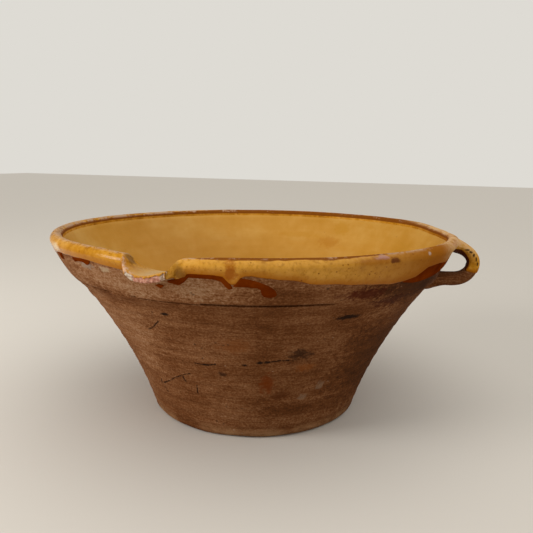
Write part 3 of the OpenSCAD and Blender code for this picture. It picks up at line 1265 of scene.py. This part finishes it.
RIM = RimSurface()
LIP_FROM = LIP.left / DISH.rim_r
LIP_TO = LIP.right / DISH.rim_r


# Sub-assemblies


@dataclass
class SubAssembly:
    """Pieces that belong together, with the CAD nodes that they stand for."""

    pieces: list[Piece] = field(default_factory=list)

    def take(self, made: Piece, finish: bpy.types.Material, slot: Slot, *nodes: str) -> Piece:
        """Gives a piece its finish and its body, and hides the CAD nodes that it replaces.

        Args:
            made: The piece.
            finish: Its material.
            slot: The record's slot; not used.
            *nodes: CAD nodes.

        Returns:
            The piece.
        """
        made.data.materials.append(finish)
        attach(made, BODY)
        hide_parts(*nodes)
        self.pieces.append(made)
        LOG.info("%s: %d faces", made.name, len(made.data.polygons))
        return made


@dataclass
class ThrownBowl(SubAssembly):
    """The floor and the wall, with throwing rings, a worn foot and the groove under the band.

    The outline starts with the flat rows under the foot, and its groove starts at groove_row.
    """

    steps: int = 360
    flat_rows: int = 5
    groove_row: int = 83

    def outline(self) -> np.ndarray:
        """Gives the closed outline from the middle underneath, out and up, and back inside.

        Returns:
            Rows of radius and height.
        """
        foot = [(r * MM, 0.0) for r in (0, 30, 60, 90, 105, 111)]
        foot += [(113.2 * MM, 0.15 * MM), (114.9 * MM, 0.9 * MM), (116.2 * MM, 2.2 * MM)]
        heights = np.linspace(4 * MM, DISH.groove_z - 3.2 * MM, 74)
        wall = [(float(DISH.outer_r(z)), float(z)) for z in heights]
        top = DISH.groove_z
        groove = [
            (DISH.groove_r - 0.8 * MM, top - 1.1 * MM), (DISH.groove_r - 1.9 * MM, top - 0.5 * MM),
            (DISH.groove_r - 2.8 * MM, top + 0.2 * MM), (DISH.groove_r - 8 * MM, top + 1.0 * MM),
        ]
        inside = [(float(DISH.inner_r(np.array(z))), float(z)) for z in np.linspace(top, 50 * MM, 12)]
        floor = DISH.floor_bend(0, 9)[::-1] + [(30 * MM, DISH.floor_t), (0.0, DISH.floor_t)]
        return np.array(foot + wall + groove + inside + floor)

    def worked(self, turn: np.ndarray, row: np.ndarray) -> Spots:
        """Works the spun outline by hand: rings, a waver, an uneven foot and slurry in the groove.

        Args:
            turn: Turns in radians.
            row: Rows of the outline.

        Returns:
            Turns, radii and heights.
        """
        outline = self.outline()
        r = outline[row, 0]
        z = outline[row, 1]
        outside = (row > self.flat_rows) & (row < self.groove_row)
        ring = 0.22 * np.sin(2 * math.pi * z / (13 * MM) - turn)
        ring = ring + 0.16 * np.sin(2 * math.pi * z / (7.4 * MM) + 2 * turn)
        ridge = 0.9 * np.exp(-(((z - DISH.shoulder_z) / (3.2 * MM)) ** 2))
        hollow = -0.8 * np.exp(-(((z - DISH.shoulder_z - 9 * MM) / (6 * MM)) ** 2))
        waver = 0.5 * uneven(turn, 11, 2, 5) + 0.25 * uneven(turn, 13, 6, 16) * np.sin(z * 40)
        fade = smooth(DISH.groove_z - 1 * MM, DISH.groove_z - 9 * MM, z)
        r = r + np.where(outside, (ring + waver) * fade + ridge + hollow - 0.3, 0) * MM
        worn = np.maximum(1 + uneven(turn, 17, 3, 14), 0) * smooth(12 * MM, 2 * MM, z) * outside
        z = z + worn * 0.55 * MM
        slurry = DISH.band_r(z) - 0.6 * MM - r
        filled = (row >= self.groove_row) & (row < self.groove_row + 3)
        r = r + slurry * RIM.filled(turn) * filled
        return turn, np.maximum(r, 0), z

    def build(self, clay: bpy.types.Material) -> None:
        """Spins and works the bowl.

        Args:
            clay: Its material.
        """
        made = spin_rows("bowl_wall", len(self.outline()), 0, [(2 * math.pi, self.steps)])
        work(made, self.worked)
        close_poles(made)
        finish_mesh(made)
        self.take(made, clay, Slot.CLAY, "thrown_bowl")


@dataclass
class Rim(SubAssembly):
    """The band, the pulled lip and their coats of glaze.

    The edge gives turns in degrees and heights in millimetres of the glaze's lower edge on the band.
    The old break along the lip lies within break_over and break_along.
    """

    edge: tuple[tuple[float, float], ...] = (
        (-180, 187), (-165, 191), (-150, 183), (-135, 187), (-120, 192), (-105, 186), (-90, 188),
        (-75, 186), (-60, 188), (-49, 184.5), (-37, 192.9), (-32.3, 194), (-24.5, 194), (-18.6, 194.2),
        (-14.7, 192.6), (-8.8, 191.8), (-6, 192), (2.5, 190), (3.6, 184.6), (4.6, 184.2), (5.8, 184.8),
        (6.7, 186.4), (7.6, 190.5), (8.1, 193.3), (11, 192.8), (13.8, 191.8), (15.7, 191), (16.8, 185.5),
        (17.5, 183.4), (18.3, 184.2), (19.3, 189.6), (20.3, 191.4), (21.7, 192), (23.7, 190.6),
        (26.2, 189.4), (29.3, 188.5), (31.5, 186.8), (34.1, 184.8), (38.7, 183.1), (42.6, 182.2),
        (49.5, 179.9), (55.3, 177.9), (60.1, 178.8), (63.8, 181.1), (65.8, 184.8), (67.7, 188.8),
        (71.4, 189.9), (79, 188), (92, 185), (105, 184), (118, 184), (135, 188), (150, 182), (165, 190),
        (180, 187),
    )
    lip_steps: int = 170
    coat_from: float = 0.235
    break_over: tuple[float, float] = (0.405, 0.475)
    break_along: tuple[float, float] = (-22 * MM, 20.5 * MM)

    def edge_z(self, turn: np.ndarray) -> np.ndarray:
        """Height of the glaze's lower edge on the face of the band.

        Args:
            turn: Turns in radians.

        Returns:
            Heights above the table.
        """
        turns = np.radians([t for t, _ in self.edge])
        heights = np.array([z for _, z in self.edge]) * MM
        return np.interp(turn, turns, heights) + 0.35 * MM * uneven(turn, 23, 30, 70)

    def over_at(self, z: np.ndarray) -> np.ndarray:
        """Place over the rim of a height on the face of the band."""
        tall = DISH.crest_foot_z - DISH.groove_z
        return RIM.crest_to + (1 - RIM.crest_to) * (DISH.crest_foot_z - z) / tall

    @property
    def lip_arcs(self) -> list[tuple[float, int]]:
        """The arc of the lip with its steps."""
        return [(LIP_TO - LIP_FROM, self.lip_steps)]

    def arcs(self) -> tuple[float, list[tuple[float, int]]]:
        """Divides the band, finer where drips show.

        Returns:
            The turn where it starts, right of the lip, and the arcs round to its left with their steps.
        """
        stops = [LIP_TO, math.radians(86), math.radians(120), math.radians(318), 2 * math.pi + LIP_FROM]
        steps = [math.radians(a) for a in (0.28, 0.5, 0.9, 0.3)]
        spans = [end - begin for begin, end in zip(stops, stops[1:])]
        return LIP_TO, [(span, round(span / step)) for span, step in zip(spans, steps)]

    def band_places(self) -> np.ndarray:
        """Gives the rows of the band, closest over the crest.

        Returns:
            Places over the rim.
        """
        spans = ((0, 0.24, 8), (0.25, 0.55, 30), (0.575, 0.985, 20), (0.995, 1.0, 2))
        return np.concatenate([np.linspace(*span) for span in spans])

    def lip_places(self) -> np.ndarray:
        """Gives the rows of the lip, closest at its edge.

        Returns:
            Places over the rim.
        """
        inside = ((0, 0.24, 6), (0.25, 0.285, 6), (0.29, 0.41, 12))
        outside = ((0.415, 0.46, 10), (0.465, 0.55, 10), (0.57, 1.0, 10))
        return np.concatenate([np.linspace(*span) for span in inside + outside])

    def band(self, turn: np.ndarray, row: np.ndarray) -> Spots:
        """Shapes the band and tucks its lower edge in where the groove is open.

        Args:
            turn: Turns in radians.
            row: Rows of the band.

        Returns:
            Turns, radii and heights.
        """
        over = self.band_places()[row]
        turn, r, z = RIM.point(turn, over, np.zeros_like(turn), False)
        tucked = smooth(0.975, 1.0, over) * (1 - RIM.filled(turn))
        return turn, r - 1.6 * MM * tucked ** 2, z + 0.5 * MM * tucked

    def lip(self, turn: np.ndarray, row: np.ndarray) -> Spots:
        """Shapes the lip and bites crumbs out of its broken edge.

        Args:
            turn: Turns in radians.
            row: Rows of the lip.

        Returns:
            Turns, radii and heights.
        """
        over = self.lip_places()[row]
        turn, r, z = RIM.point(turn, over, np.zeros_like(turn), True)
        along = turn * DISH.rim_r
        points = np.stack([along, r, z], 1)
        nose = smooth(0.395, 0.42, over) * smooth(0.475, 0.455, over)
        nose = nose * smooth(23 * MM, 19 * MM, along) * smooth(-24 * MM, -19 * MM, along)
        bitten = np.abs(grain(points, 5 * MM, 1.3)) * 1.6 + grain(points, 1.6 * MM, 4.1) * 0.5
        return turn, r - nose * bitten * MM, z + nose * grain(points, 3 * MM, 7.7) * 0.6 * MM

    def build_clay(self, clay: bpy.types.Material, broken: bpy.types.Material) -> None:
        """Makes the band and the lip of bare clay.

        Args:
            clay: Their material.
            broken: The material of the break along the lip.
        """
        start, arcs = self.arcs()
        made = spin_rows("rim_band_clay", len(self.band_places()), start, arcs)
        work(made, self.band)
        finish_mesh(made)
        self.take(made, clay, Slot.CLAY, "rim_band")
        spread = self.lip_places()
        made = spin_rows("spout_clay", len(spread), LIP_FROM, self.lip_arcs)
        work(made, self.lip)
        finish_mesh(made)
        self.take(made, clay, Slot.CLAY, "pouring_spout")
        made.data.materials.append(broken)
        rows = values_of(made, "row")
        low, high = self.break_over
        left, right = self.break_along
        for face in made.data.polygons:
            places = [spread[round(rows[v])] for v in face.vertices]
            front = low < min(places) and max(places) < high
            along = math.atan2(face.center.x, -face.center.y) * DISH.rim_r
            if front and left < along < right:
                face.material_index = 1

    def coat(self, name: str, spout: bool, finish: bpy.types.Material, node: str) -> None:
        """Makes a coat of glaze over the band or in the trough.

        Args:
            name: Name of the piece.
            spout: Whether it lies on the lip, or on the band.
            finish: Its material.
            node: The CAD node that it replaces.
        """
        outer = np.concatenate([[0, 0.02, 0.05], np.linspace(0.09, 0.9, 34), [0.94, 0.965, 0.985, 1.0]])
        inner = np.linspace(0.97, 0.02, 9)
        share = np.concatenate([outer, inner])
        proud = np.concatenate([
            [-0.1, 0.2, 0.4], np.full(34, 0.5), [0.62, 0.66, 0.5, -0.1], np.full(9, -0.5),
        ]) * MM

        def ends(turn: np.ndarray) -> np.ndarray:
            """Gives where the coat ends.

            Args:
                turn: Turns in radians.

            Returns:
                Places over the rim.
            """
            low = self.over_at(self.edge_z(turn))
            along = turn * DISH.rim_r
            lip_end = 0.429 + 0.045 * smooth(-13 * MM, -21 * MM, along) + 0.006 * uneven(turn, 31, 120, 420)
            left = smooth(-25 * MM, -31 * MM, along)
            lip_end = np.where(along < 0, lip_end + (low - lip_end) * left, lip_end)
            right = smooth(18 * MM, 23 * MM, along)
            lip_end = np.where(along > 0, lip_end + (low - lip_end) * right, lip_end)
            return lip_end if spout else low

        def place(turn: np.ndarray, row: np.ndarray) -> np.ndarray:
            """Gives the place over the rim by turn and row."""
            return self.coat_from + (ends(turn) - self.coat_from) * share[row]

        def worked(turn: np.ndarray, row: np.ndarray) -> Spots:
            """Lays the coat on the clay."""
            return RIM.point(turn, place(turn, row), proud[row], spout)

        start, arcs = (LIP_FROM, self.lip_arcs) if spout else self.arcs()
        made = spin_rows(name, len(share), start, arcs)
        points = points_of(made)
        turn = np.arctan2(points[:, 0], -points[:, 1])
        row = np.round(values_of(made, "row")).astype(int)
        over = place(turn, row)
        tall = DISH.crest_foot_z - DISH.groove_z
        fall = (ends(turn) - over) / (1 - RIM.crest_to) * tall
        work(made, worked)
        if spout:
            along = turn * DISH.rim_r
            inside = smooth(-29 * MM, -24 * MM, along) * smooth(32 * MM, 22 * MM, along)
            rubbed = smooth(0.392, 0.412, over)
            rubbed = rubbed * smooth(-6 * MM, -14 * MM, along) * smooth(-26 * MM, -22 * MM, along)
            cream = smooth(0.27, 0.3, over) * smooth(0.43, 0.4, over)
            cream = cream * smooth(-20 * MM, -8 * MM, along) * smooth(24 * MM, 12 * MM, along)
            keep_values(made, "rubbed", rubbed)
            keep_values(made, "cream", cream)
            over = np.maximum(over, 0.3 + 0.3 * inside)
            trough = smooth(-30 * MM, -26 * MM, along) * smooth(21 * MM, 18 * MM, along)
            fall = np.maximum(fall, 6 * MM * trough)
        else:
            worn = smooth(*np.radians((72, 86)), turn) * smooth(*np.radians((142, 116)), turn)
            worn = worn * smooth(0.31, 0.36, over) * smooth(0.7, 0.54, over)
            keep_values(made, "rubbed", 0.6 * worn)
            keep_values(made, "cream", worn)
        keep_values(made, "over", over)
        keep_values(made, "fall", fall)
        finish_mesh(made, 60)
        self.take(made, finish, Slot.YELLOW, node)


@dataclass(frozen=True)
class Run:
    """A run of amber glaze: its upper and lower edge as turns in degrees and heights in millimetres."""

    top: tuple[tuple[float, float], ...]
    low: tuple[tuple[float, float], ...]

    def edges(self, part: np.ndarray) -> tuple[np.ndarray, np.ndarray, np.ndarray]:
        """Gives the edges of the run.

        Args:
            part: Parts of its length, from 0 to 1.

        Returns:
            Turns in radians, upper and lower heights.
        """
        turn = self.top[0][0] + (self.top[-1][0] - self.top[0][0]) * part
        high = np.interp(turn, [p[0] for p in self.top], [p[1] for p in self.top])
        low = np.interp(turn, [p[0] for p in self.low], [p[1] for p in self.low])
        return np.radians(turn), high * MM, np.minimum(low, high - 0.2) * MM


@dataclass
class GlazeRuns(SubAssembly):
    """Tongues and drips of glaze that ran past the slip onto bare clay, with edges sunk into it."""

    runs: tuple[Run, ...] = (
        Run(((-0.1, 180.6), (0.9, 181.6), (1.9, 180.6)), ((-0.1, 180), (0.9, 177.2), (1.9, 179.6))),
        Run(
            ((3.2, 186), (4.6, 187.5), (6, 189), (7.6, 192), (8.3, 194)),
            ((3.2, 184.2), (4.6, 183), (5.6, 181.8), (7, 185), (8.3, 190.2)),
        ),
        Run(
            ((7.9, 194), (8.4, 195.5), (11, 195), (14.2, 194), (15.8, 192.5), (16.8, 187.5), (17.6, 181.4)),
            (
                (7.9, 190.2), (10.9, 189.8), (13.7, 188.8), (15.2, 186.8), (16, 182.4), (16.7, 179.4),
                (17.6, 180.4),
            ),
        ),
        Run(
            (
                (17.8, 184), (18.5, 186.5), (19.4, 190.8), (20.3, 190), (21.3, 189.3), (22.6, 187.8),
                (23.8, 186.1), (25.2, 183.8), (26.2, 181.2), (26.9, 178.3), (27.2, 175.1),
            ),
            (
                (17.8, 182.4), (21, 181.8), (22.9, 181.2), (23.6, 179.6), (23.85, 175), (24.4, 172.8),
                (25.7, 171.9), (26.8, 172.9), (27.2, 174.9),
            ),
        ),
        Run(
            (
                (59.6, 179), (62, 181), (63.8, 182.2), (65.8, 186.2), (67.7, 190.2), (71.4, 191.4),
                (79, 189.4), (90, 187.4), (95, 187),
            ),
            ((59.6, 178), (64.5, 174.8), (67.7, 174.4), (73, 175.8), (79, 179), (85, 182), (95, 185.6)),
        ),
        Run(
            ((-36.2, 193.5), (-35.2, 195), (-33.8, 195), (-32.8, 194)),
            ((-36.2, 192), (-35.4, 186.6), (-33.4, 186.8), (-32.8, 192.5)),
        ),
        Run(
            ((-26.4, 194.6), (-24, 195.4), (-20, 195.4), (-18.4, 194.6)),
            (
                (-26.4, 193), (-25.8, 189), (-23.7, 190.8), (-21.4, 190.9), (-20.4, 188.8), (-19.3, 190),
                (-18.4, 193.2),
            ),
        ),
        Run(((128, 189), (131, 190), (134, 189)), ((128, 186), (130, 177), (132, 176.4), (134, 186))),
        Run(((173, 190), (176, 191), (179, 189)), ((173, 187), (175, 174.5), (177, 174), (179, 186))),
        Run(((-158, 189), (-154, 188), (-150, 184)), ((-158, 187), (-155, 179), (-152, 178.4), (-150, 182))),
        Run(
            ((-124, 193), (-121, 193.5), (-118, 192)),
            ((-124, 190), (-122, 178), (-120, 177.4), (-118, 189)),
        ),
    )
    thickness: float = 0.75 * MM
    depth: float = 0.5 * MM
    sunk: float = 0.05 * MM
    steps_along: int = 60
    steps_up: int = 14

    def build(self, amber: bpy.types.Material, over_at: Callable[[np.ndarray], np.ndarray]) -> None:
        """Lays each run on the band and joins them.

        Args:
            amber: Their material.
            over_at: Gives the place over the rim of a height on the band.
        """
        laid = []
        for number, run in enumerate(self.runs):
            made = flat_grid(f"glaze_run_{number}", self.steps_along, self.steps_up)
            points = points_of(made)
            along = (points[:, 0] + 1) / 2
            up = (points[:, 1] + 1) / 2
            turn, high, low = run.edges(along)
            swell = (1 - (2 * up - 1) ** 4) * (1 - (2 * along - 1) ** 8)
            lift = self.thickness * np.clip(swell, 0, 1) ** 0.35 - self.sunk
            turn, r, z = RIM.point(turn, over_at(low + (high - low) * up), lift, False)
            set_points(made, np.stack([r * np.sin(turn), -r * np.cos(turn), z], 1))
            skin = made.modifiers.new("skin", "SOLIDIFY")
            skin.thickness = self.depth
            skin.offset = -1
            bpy.ops.object.modifier_apply(modifier="skin")
            laid.append(made)
        bpy.ops.object.select_all(action="DESELECT")
        for made in laid:
            made.select_set(True)
        bpy.context.view_layer.objects.active = laid[0]
        bpy.ops.object.join()
        joined = laid[0]
        joined.name = "amber_runs"
        finish_mesh(joined, 60)
        self.take(joined, amber, Slot.AMBER, "glaze_runs")


@dataclass
class Lining(SubAssembly):
    """The slip and glaze inside the bowl, from the middle of the floor up to the crest."""

    coat: float = 1.1 * MM
    sunk: float = 0.4 * MM

    def outline(self) -> np.ndarray:
        """Gives the closed outline, from the middle of the floor up to the crest and back behind the coat.

        Returns:
            Radius, height and place over the rim of each row; the place is under 0 below the band.
        """
        bend = DISH.floor_bend(self.coat, 13)
        rows = [(r, bend[0][1], -1) for r in np.linspace(0, bend[0][0], 9)[:-1]]
        rows += [(r, z, -1) for r, z in bend]
        for z in np.linspace(bend[-1][1], DISH.groove_z, 40)[1:]:
            rows.append((float(DISH.inner_r(np.array(z))) - self.coat, z, -1))
        rows += [(0, 0, over) for over in np.linspace(0.02, 0.252, 14)]
        rows += [(0, 0, over) for over in (0.24, 0.12)]
        for z in np.linspace(DISH.groove_z, 50 * MM, 8):
            rows.append((float(DISH.inner_r(np.array(z))) + self.sunk, z, -1))
        rows += [(r, z, -1) for r, z in DISH.floor_bend(-self.sunk, 7)[::-1]]
        rows += [(0, DISH.floor_t - self.sunk, -1)]
        return np.array(rows)

    def build(self, glaze: bpy.types.Material) -> None:
        """Spins the lining and lets it dip into the spout.

        Args:
            glaze: Its material.
        """
        outline = self.outline()
        # Rows of the floor, the round, the wall and the rim, before those behind the coat
        front_rows = 8 + 13 + 39 + 14

        def worked(turn: np.ndarray, row: np.ndarray) -> Spots:
            """Lays the lining on the clay, with faint rings.

            Args:
                turn: Turns in radians.
                row: Rows of the outline.

            Returns:
                Turns, radii and heights.
            """
            r, z, over = outline[row].T
            front = row < front_rows
            lift = np.where(front, self.coat * smooth(0.256, 0.235, over) + 0.05 * MM, -self.sunk)
            place = np.clip(over, 0, 1)
            _, band_r, band_z = RIM.point(turn, place, lift, False)
            _, lip_r, lip_z = RIM.point(turn, place, lift, True)
            spout = (turn > LIP_FROM) & (turn < LIP_TO)
            ring = 0.12 * MM * np.sin(2 * math.pi * z / (11 * MM) + turn)
            ring = ring * smooth(14 * MM, 60 * MM, z) * front
            ringed = np.maximum(r + np.where(r > 0, ring, 0), 0)
            r = np.where(over < 0, ringed, np.where(spout, lip_r, band_r))
            z = np.where(over < 0, z, np.where(spout, lip_z, band_z))
            return turn, r, z

        fine = math.radians(20)
        made = spin_rows("glazed_lining", len(outline), -fine / 2, [(fine, 100), (2 * math.pi - fine, 340)])
        work(made, worked)
        close_poles(made)
        finish_mesh(made, 60)
        self.take(made, glaze, Slot.YELLOW, "interior_glaze", "slip_lining")


@dataclass
class Strap(SubAssembly):
    """A strap handle with thumbed roots and the glaze on its upper half.

    Its coat takes the look that the rim's glaze has at face_over.
    """

    shape: StrapShape = STRAPS[0]
    side: str = "right"
    sides: int = 40
    clay_cuts: int = 90
    coat_cuts: int = 70
    length: float = 110 * MM
    face_over: float = 0.6

    def bare(self, part: np.ndarray, around: np.ndarray) -> np.ndarray:
        """Lift of the clay itself."""
        return np.zeros_like(part)

    def whole(self, around: np.ndarray) -> np.ndarray:
        """Part where the clay ends."""
        return np.ones_like(around)

    def glazed(self, part: np.ndarray, around: np.ndarray) -> np.ndarray:
        """Lift of the coat, with a bead along its end."""
        end = part / self.glaze_end(around)
        return (0.5 + 0.2 * smooth(0.85, 0.95, end) - 0.9 * smooth(0.965, 1.0, end)) * MM

    def glaze_end(self, around: np.ndarray) -> np.ndarray:
        """Part where the coat ends."""
        return 0.54 + 0.03 * np.cos(2 * around) + 0.02 * np.sin(3 * around + 1)

    def bend_bar(self, made: Piece, lift: Lift, last: Callable[[np.ndarray], np.ndarray]) -> np.ndarray:
        """Bends a straight bar to the strap.

        Args:
            made: The bar.
            lift: Gives the distance off the clay by part and angle.
            last: Gives the part where the bar ends by angle.

        Returns:
            The part of the strap at each point, from 0 at the crest to 1 at the shoulder.
        """
        points = points_of(made)
        around = np.arctan2(points[:, 1], points[:, 0])
        full = np.hypot(points[:, 0], points[:, 1])
        part = (points[:, 2] + 0.5) * last(around)
        lines = [np.stack(line.points(12), 1) for line in (self.shape.outer, self.shape.inner)]
        steps = np.linspace(0, 1, len(lines[0]))
        outer, inner = (np.stack([np.interp(part, steps, line[:, i]) for i in (0, 1)], 1) for line in lines)
        middle = (outer + inner) / 2
        half = (outer - inner) / 2
        thick = np.linalg.norm(half, axis=1)
        root = smooth(0.25, 0.0, part)
        foot = smooth(0.72, 0.95, part)
        half_w = self.shape.width / 2 + self.shape.root_flare * root ** 1.3 + self.shape.foot_flare * foot
        half_w = half_w + 0.3 * MM * np.sin(14 * part + 1)
        grow = lift(part, around)
        power = self.shape.squareness
        y = np.sign(np.cos(around)) * np.abs(np.cos(around)) ** power * (half_w + grow) * full
        n = -np.sign(np.sin(around)) * np.abs(np.sin(around)) ** power * (1 + grow / thick) * full
        tilted_at = (0.05, 0.12, 0.18, 0.28, 0.42, 0.55, 0.72)
        tilt = np.interp(part, tilted_at, (0, 4, 4.2, 1, -2.4, -2.4, 0)) * MM
        n = n - tilt * smooth(0.3, -0.5, n) * y / half_w * np.sign(self.shape.turn) / thick
        out, up = (middle + half * n[:, None]).T
        wing = 0.75 * np.maximum(np.abs(y) - self.shape.width / 2, 0) * smooth(0.32, 0.16, part)
        out = out - np.minimum(wing, np.maximum(out - self.shape.rim_inside, 0))
        sin_t = math.sin(self.shape.turn)
        cos_t = math.cos(self.shape.turn)
        set_points(made, np.stack([out * sin_t + y * cos_t, -out * cos_t + y * sin_t, up], 1))
        return part

    def build(self, clay: bpy.types.Material, glaze: bpy.types.Material) -> None:
        """Makes the clay strap and its coat.

        Args:
            clay: The strap's material.
            glaze: The coat's material.
        """
        made = straight_bar(f"{self.side}_strap_clay", self.sides, self.clay_cuts)
        self.bend_bar(made, self.bare, self.whole)
        finish_mesh(made)
        self.take(made, clay, Slot.CLAY, f"{self.side}_handle", f"{self.side}_handle_root")
        made = straight_bar(f"{self.side}_strap_coat", self.sides, self.coat_cuts)
        around = np.arctan2(points_of(made)[:, 1], points_of(made)[:, 0])
        part = self.bend_bar(made, self.glazed, self.glaze_end)
        keep_values(made, "over", np.full_like(part, self.face_over))
        top = smooth(0.75, -0.8, np.sin(around))
        keep_values(made, "cream", top * smooth(0.46, 0.2, part))
        keep_values(made, "rubbed", 0.6 * top * smooth(0.4, 0.1, part))
        # Painted shade: the coat's underside gets a fall below the glaze's edge, so it takes the dark amber
        under = smooth(0.3, 0.7, np.sin(around)) * smooth(0.06, 0.12, part)
        fall = (self.glaze_end(around) - part) * self.length
        keep_values(made, "fall", fall * (1 - under) - 2 * MM * under)
        finish_mesh(made, 60)
        self.take(made, glaze, Slot.YELLOW, "handle_glaze")


# The stage


@dataclass(frozen=True)
class Stage:
    """A pale floor, soft light from the left and a camera at the photo's viewing angle."""

    azimuth: float = math.radians(22.5)
    distance: float = 683.6 * MM
    height: float = 286.6 * MM
    pitch: float = math.radians(10.6)
    yaw: float = math.radians(1.06)
    roll: float = math.radians(0.78)
    focal_pixels: float = 592.8
    frame_pixels: float = 533
    sensor: float = 36
    aim_z: float = 120 * MM

    def turned(self, right: float, ahead: float, up: float) -> Vector:
        """Turns a direction seen from the camera's side into the frame.

        Args:
            right: Its part to the right.
            ahead: Its part away from the camera.
            up: Its part upwards.

        Returns:
            The direction in the frame.
        """
        cos_a = math.cos(self.azimuth)
        sin_a = math.sin(self.azimuth)
        return Vector((right * cos_a - ahead * sin_a, right * sin_a + ahead * cos_a, up))

    def camera(self) -> None:
        """Places the camera."""
        level = math.cos(self.pitch)
        ahead = self.turned(math.sin(self.yaw) * level, math.cos(self.yaw) * level, -math.sin(self.pitch))
        right = self.turned(math.cos(self.yaw), -math.sin(self.yaw), 0)
        up = right.cross(ahead)
        side = right * math.cos(self.roll) + up * math.sin(self.roll)
        top = up * math.cos(self.roll) - right * math.sin(self.roll)
        lens = bpy.data.cameras.new("camera")
        lens.sensor_width = self.sensor
        lens.lens = self.sensor * self.focal_pixels / self.frame_pixels
        lens.clip_start = 0.01
        made = bpy.data.objects.new("camera", lens)
        bpy.context.scene.collection.objects.link(made)
        at = self.turned(0, -self.distance, self.height)
        columns = Matrix((side, top, -ahead)).transposed().to_4x4()
        made.matrix_world = Matrix.Translation(at) @ columns
        bpy.context.scene.camera = made

    def lamp(self, name: str, right: float, ahead: float, up: float, size: float, power: float) -> None:
        """Hangs a soft square lamp that points at the dish.

        Args:
            name: Its name.
            right: Its place to the right of the dish.
            ahead: Its place beyond the dish.
            up: Its height.
            size: Its side.
            power: Its power in watts.
        """
        light = bpy.data.lights.new(name, "AREA")
        light.size = size
        light.energy = power
        made = bpy.data.objects.new(name, light)
        bpy.context.scene.collection.objects.link(made)
        at = self.turned(right, ahead, up)
        made.location = at
        made.rotation_euler = (Vector((0, 0, self.aim_z)) - at).to_track_quat("-Z", "Y").to_euler()

    def sky(self, right: float, ahead: float, up: float, power: float) -> None:
        """Lights everything alike from a wide soft sky on one side.

        Args:
            right: How far the light comes from the right.
            ahead: How far it comes from beyond the dish.
            up: How far it comes from above.
            power: Its strength.
        """
        light = bpy.data.lights.new("sky", "SUN")
        light.angle = math.radians(100)
        light.energy = power
        made = bpy.data.objects.new("sky", light)
        bpy.context.scene.collection.objects.link(made)
        made.rotation_euler = (-self.turned(right, ahead, up)).to_track_quat("-Z", "Y").to_euler()

    def build(self) -> None:
        """Sets the floor, the light and the camera."""
        bpy.ops.object.select_all(action="DESELECT")
        bpy.ops.mesh.primitive_plane_add(size=12)
        floor = bpy.context.object
        floor.name = "floor"
        paper = bpy.data.materials.new("pale_paper")
        paper.use_nodes = True
        shader = paper.node_tree.nodes["Principled BSDF"]
        shader.inputs["Base Color"].default_value = linear("#cbc4b9")
        shader.inputs["Roughness"].default_value = 0.9
        floor.data.materials.append(paper)
        world = bpy.data.worlds.new("soft_room")
        world.use_nodes = True
        tree = world.node_tree
        sky = tree.nodes["Background"]
        sky.inputs["Color"].default_value = linear("#dcd9d2")
        sky.inputs["Strength"].default_value = 0.35
        seen = add_node(tree, Node.GLOW, {"Color": "#dedbd4"})
        direct = add_node(tree, Node.RAY, output="Is Camera Ray")
        both = add_node(tree, Node.MIX_GLOW, {0: direct, 1: sky.outputs[0], 2: seen})
        tree.links.new(both, tree.nodes["World Output"].inputs["Surface"])
        bpy.context.scene.world = world
        self.lamp("window", right=-1.5, ahead=-0.6, up=0.7, size=0.7, power=19)
        self.sky(right=0.3, ahead=-0.2, up=1.0, power=2.2)
        self.camera()
        bpy.context.scene.view_settings.view_transform = "Standard"


def main() -> None:
    """Builds and dresses the dish and sets the stage."""
    logging.basicConfig(level=logging.INFO, format="%(asctime)s %(message)s")
    clay = Earthenware(marks=STAINS, tones=TONES, cracks=CRACKS).material()
    lining_glaze = YellowGlaze(marks=STREAKS).material()
    rim_glaze = RimGlaze(marks=CHIPS).material()
    # The strap's amber is darkened to paint shade on its underside, and its right side gets no painted shade
    strap_glaze = RimGlaze("yellow_lead_glaze_strap", marks=CHIPS, shade=0, amber="#4a1c06").material()
    amber = AmberGlaze().material()
    broken = BrokenClay().material()
    bowl = ThrownBowl()
    bowl.build(clay)
    rim = Rim()
    rim.build_clay(clay, broken)
    rim.coat("rim_coat", False, rim_glaze, "rim_glaze")
    rim.coat("spout_coat", True, rim_glaze, "spout_glaze")
    runs = GlazeRuns()
    runs.build(amber, rim.over_at)
    lining = Lining()
    lining.build(lining_glaze)
    straps = [Strap(shape=STRAPS[0], side="right"), Strap(shape=STRAPS[1], side="left")]
    for strap in straps:
        strap.build(clay, strap_glaze)
    Stage().build()


if __name__ == "__main__":
    main()
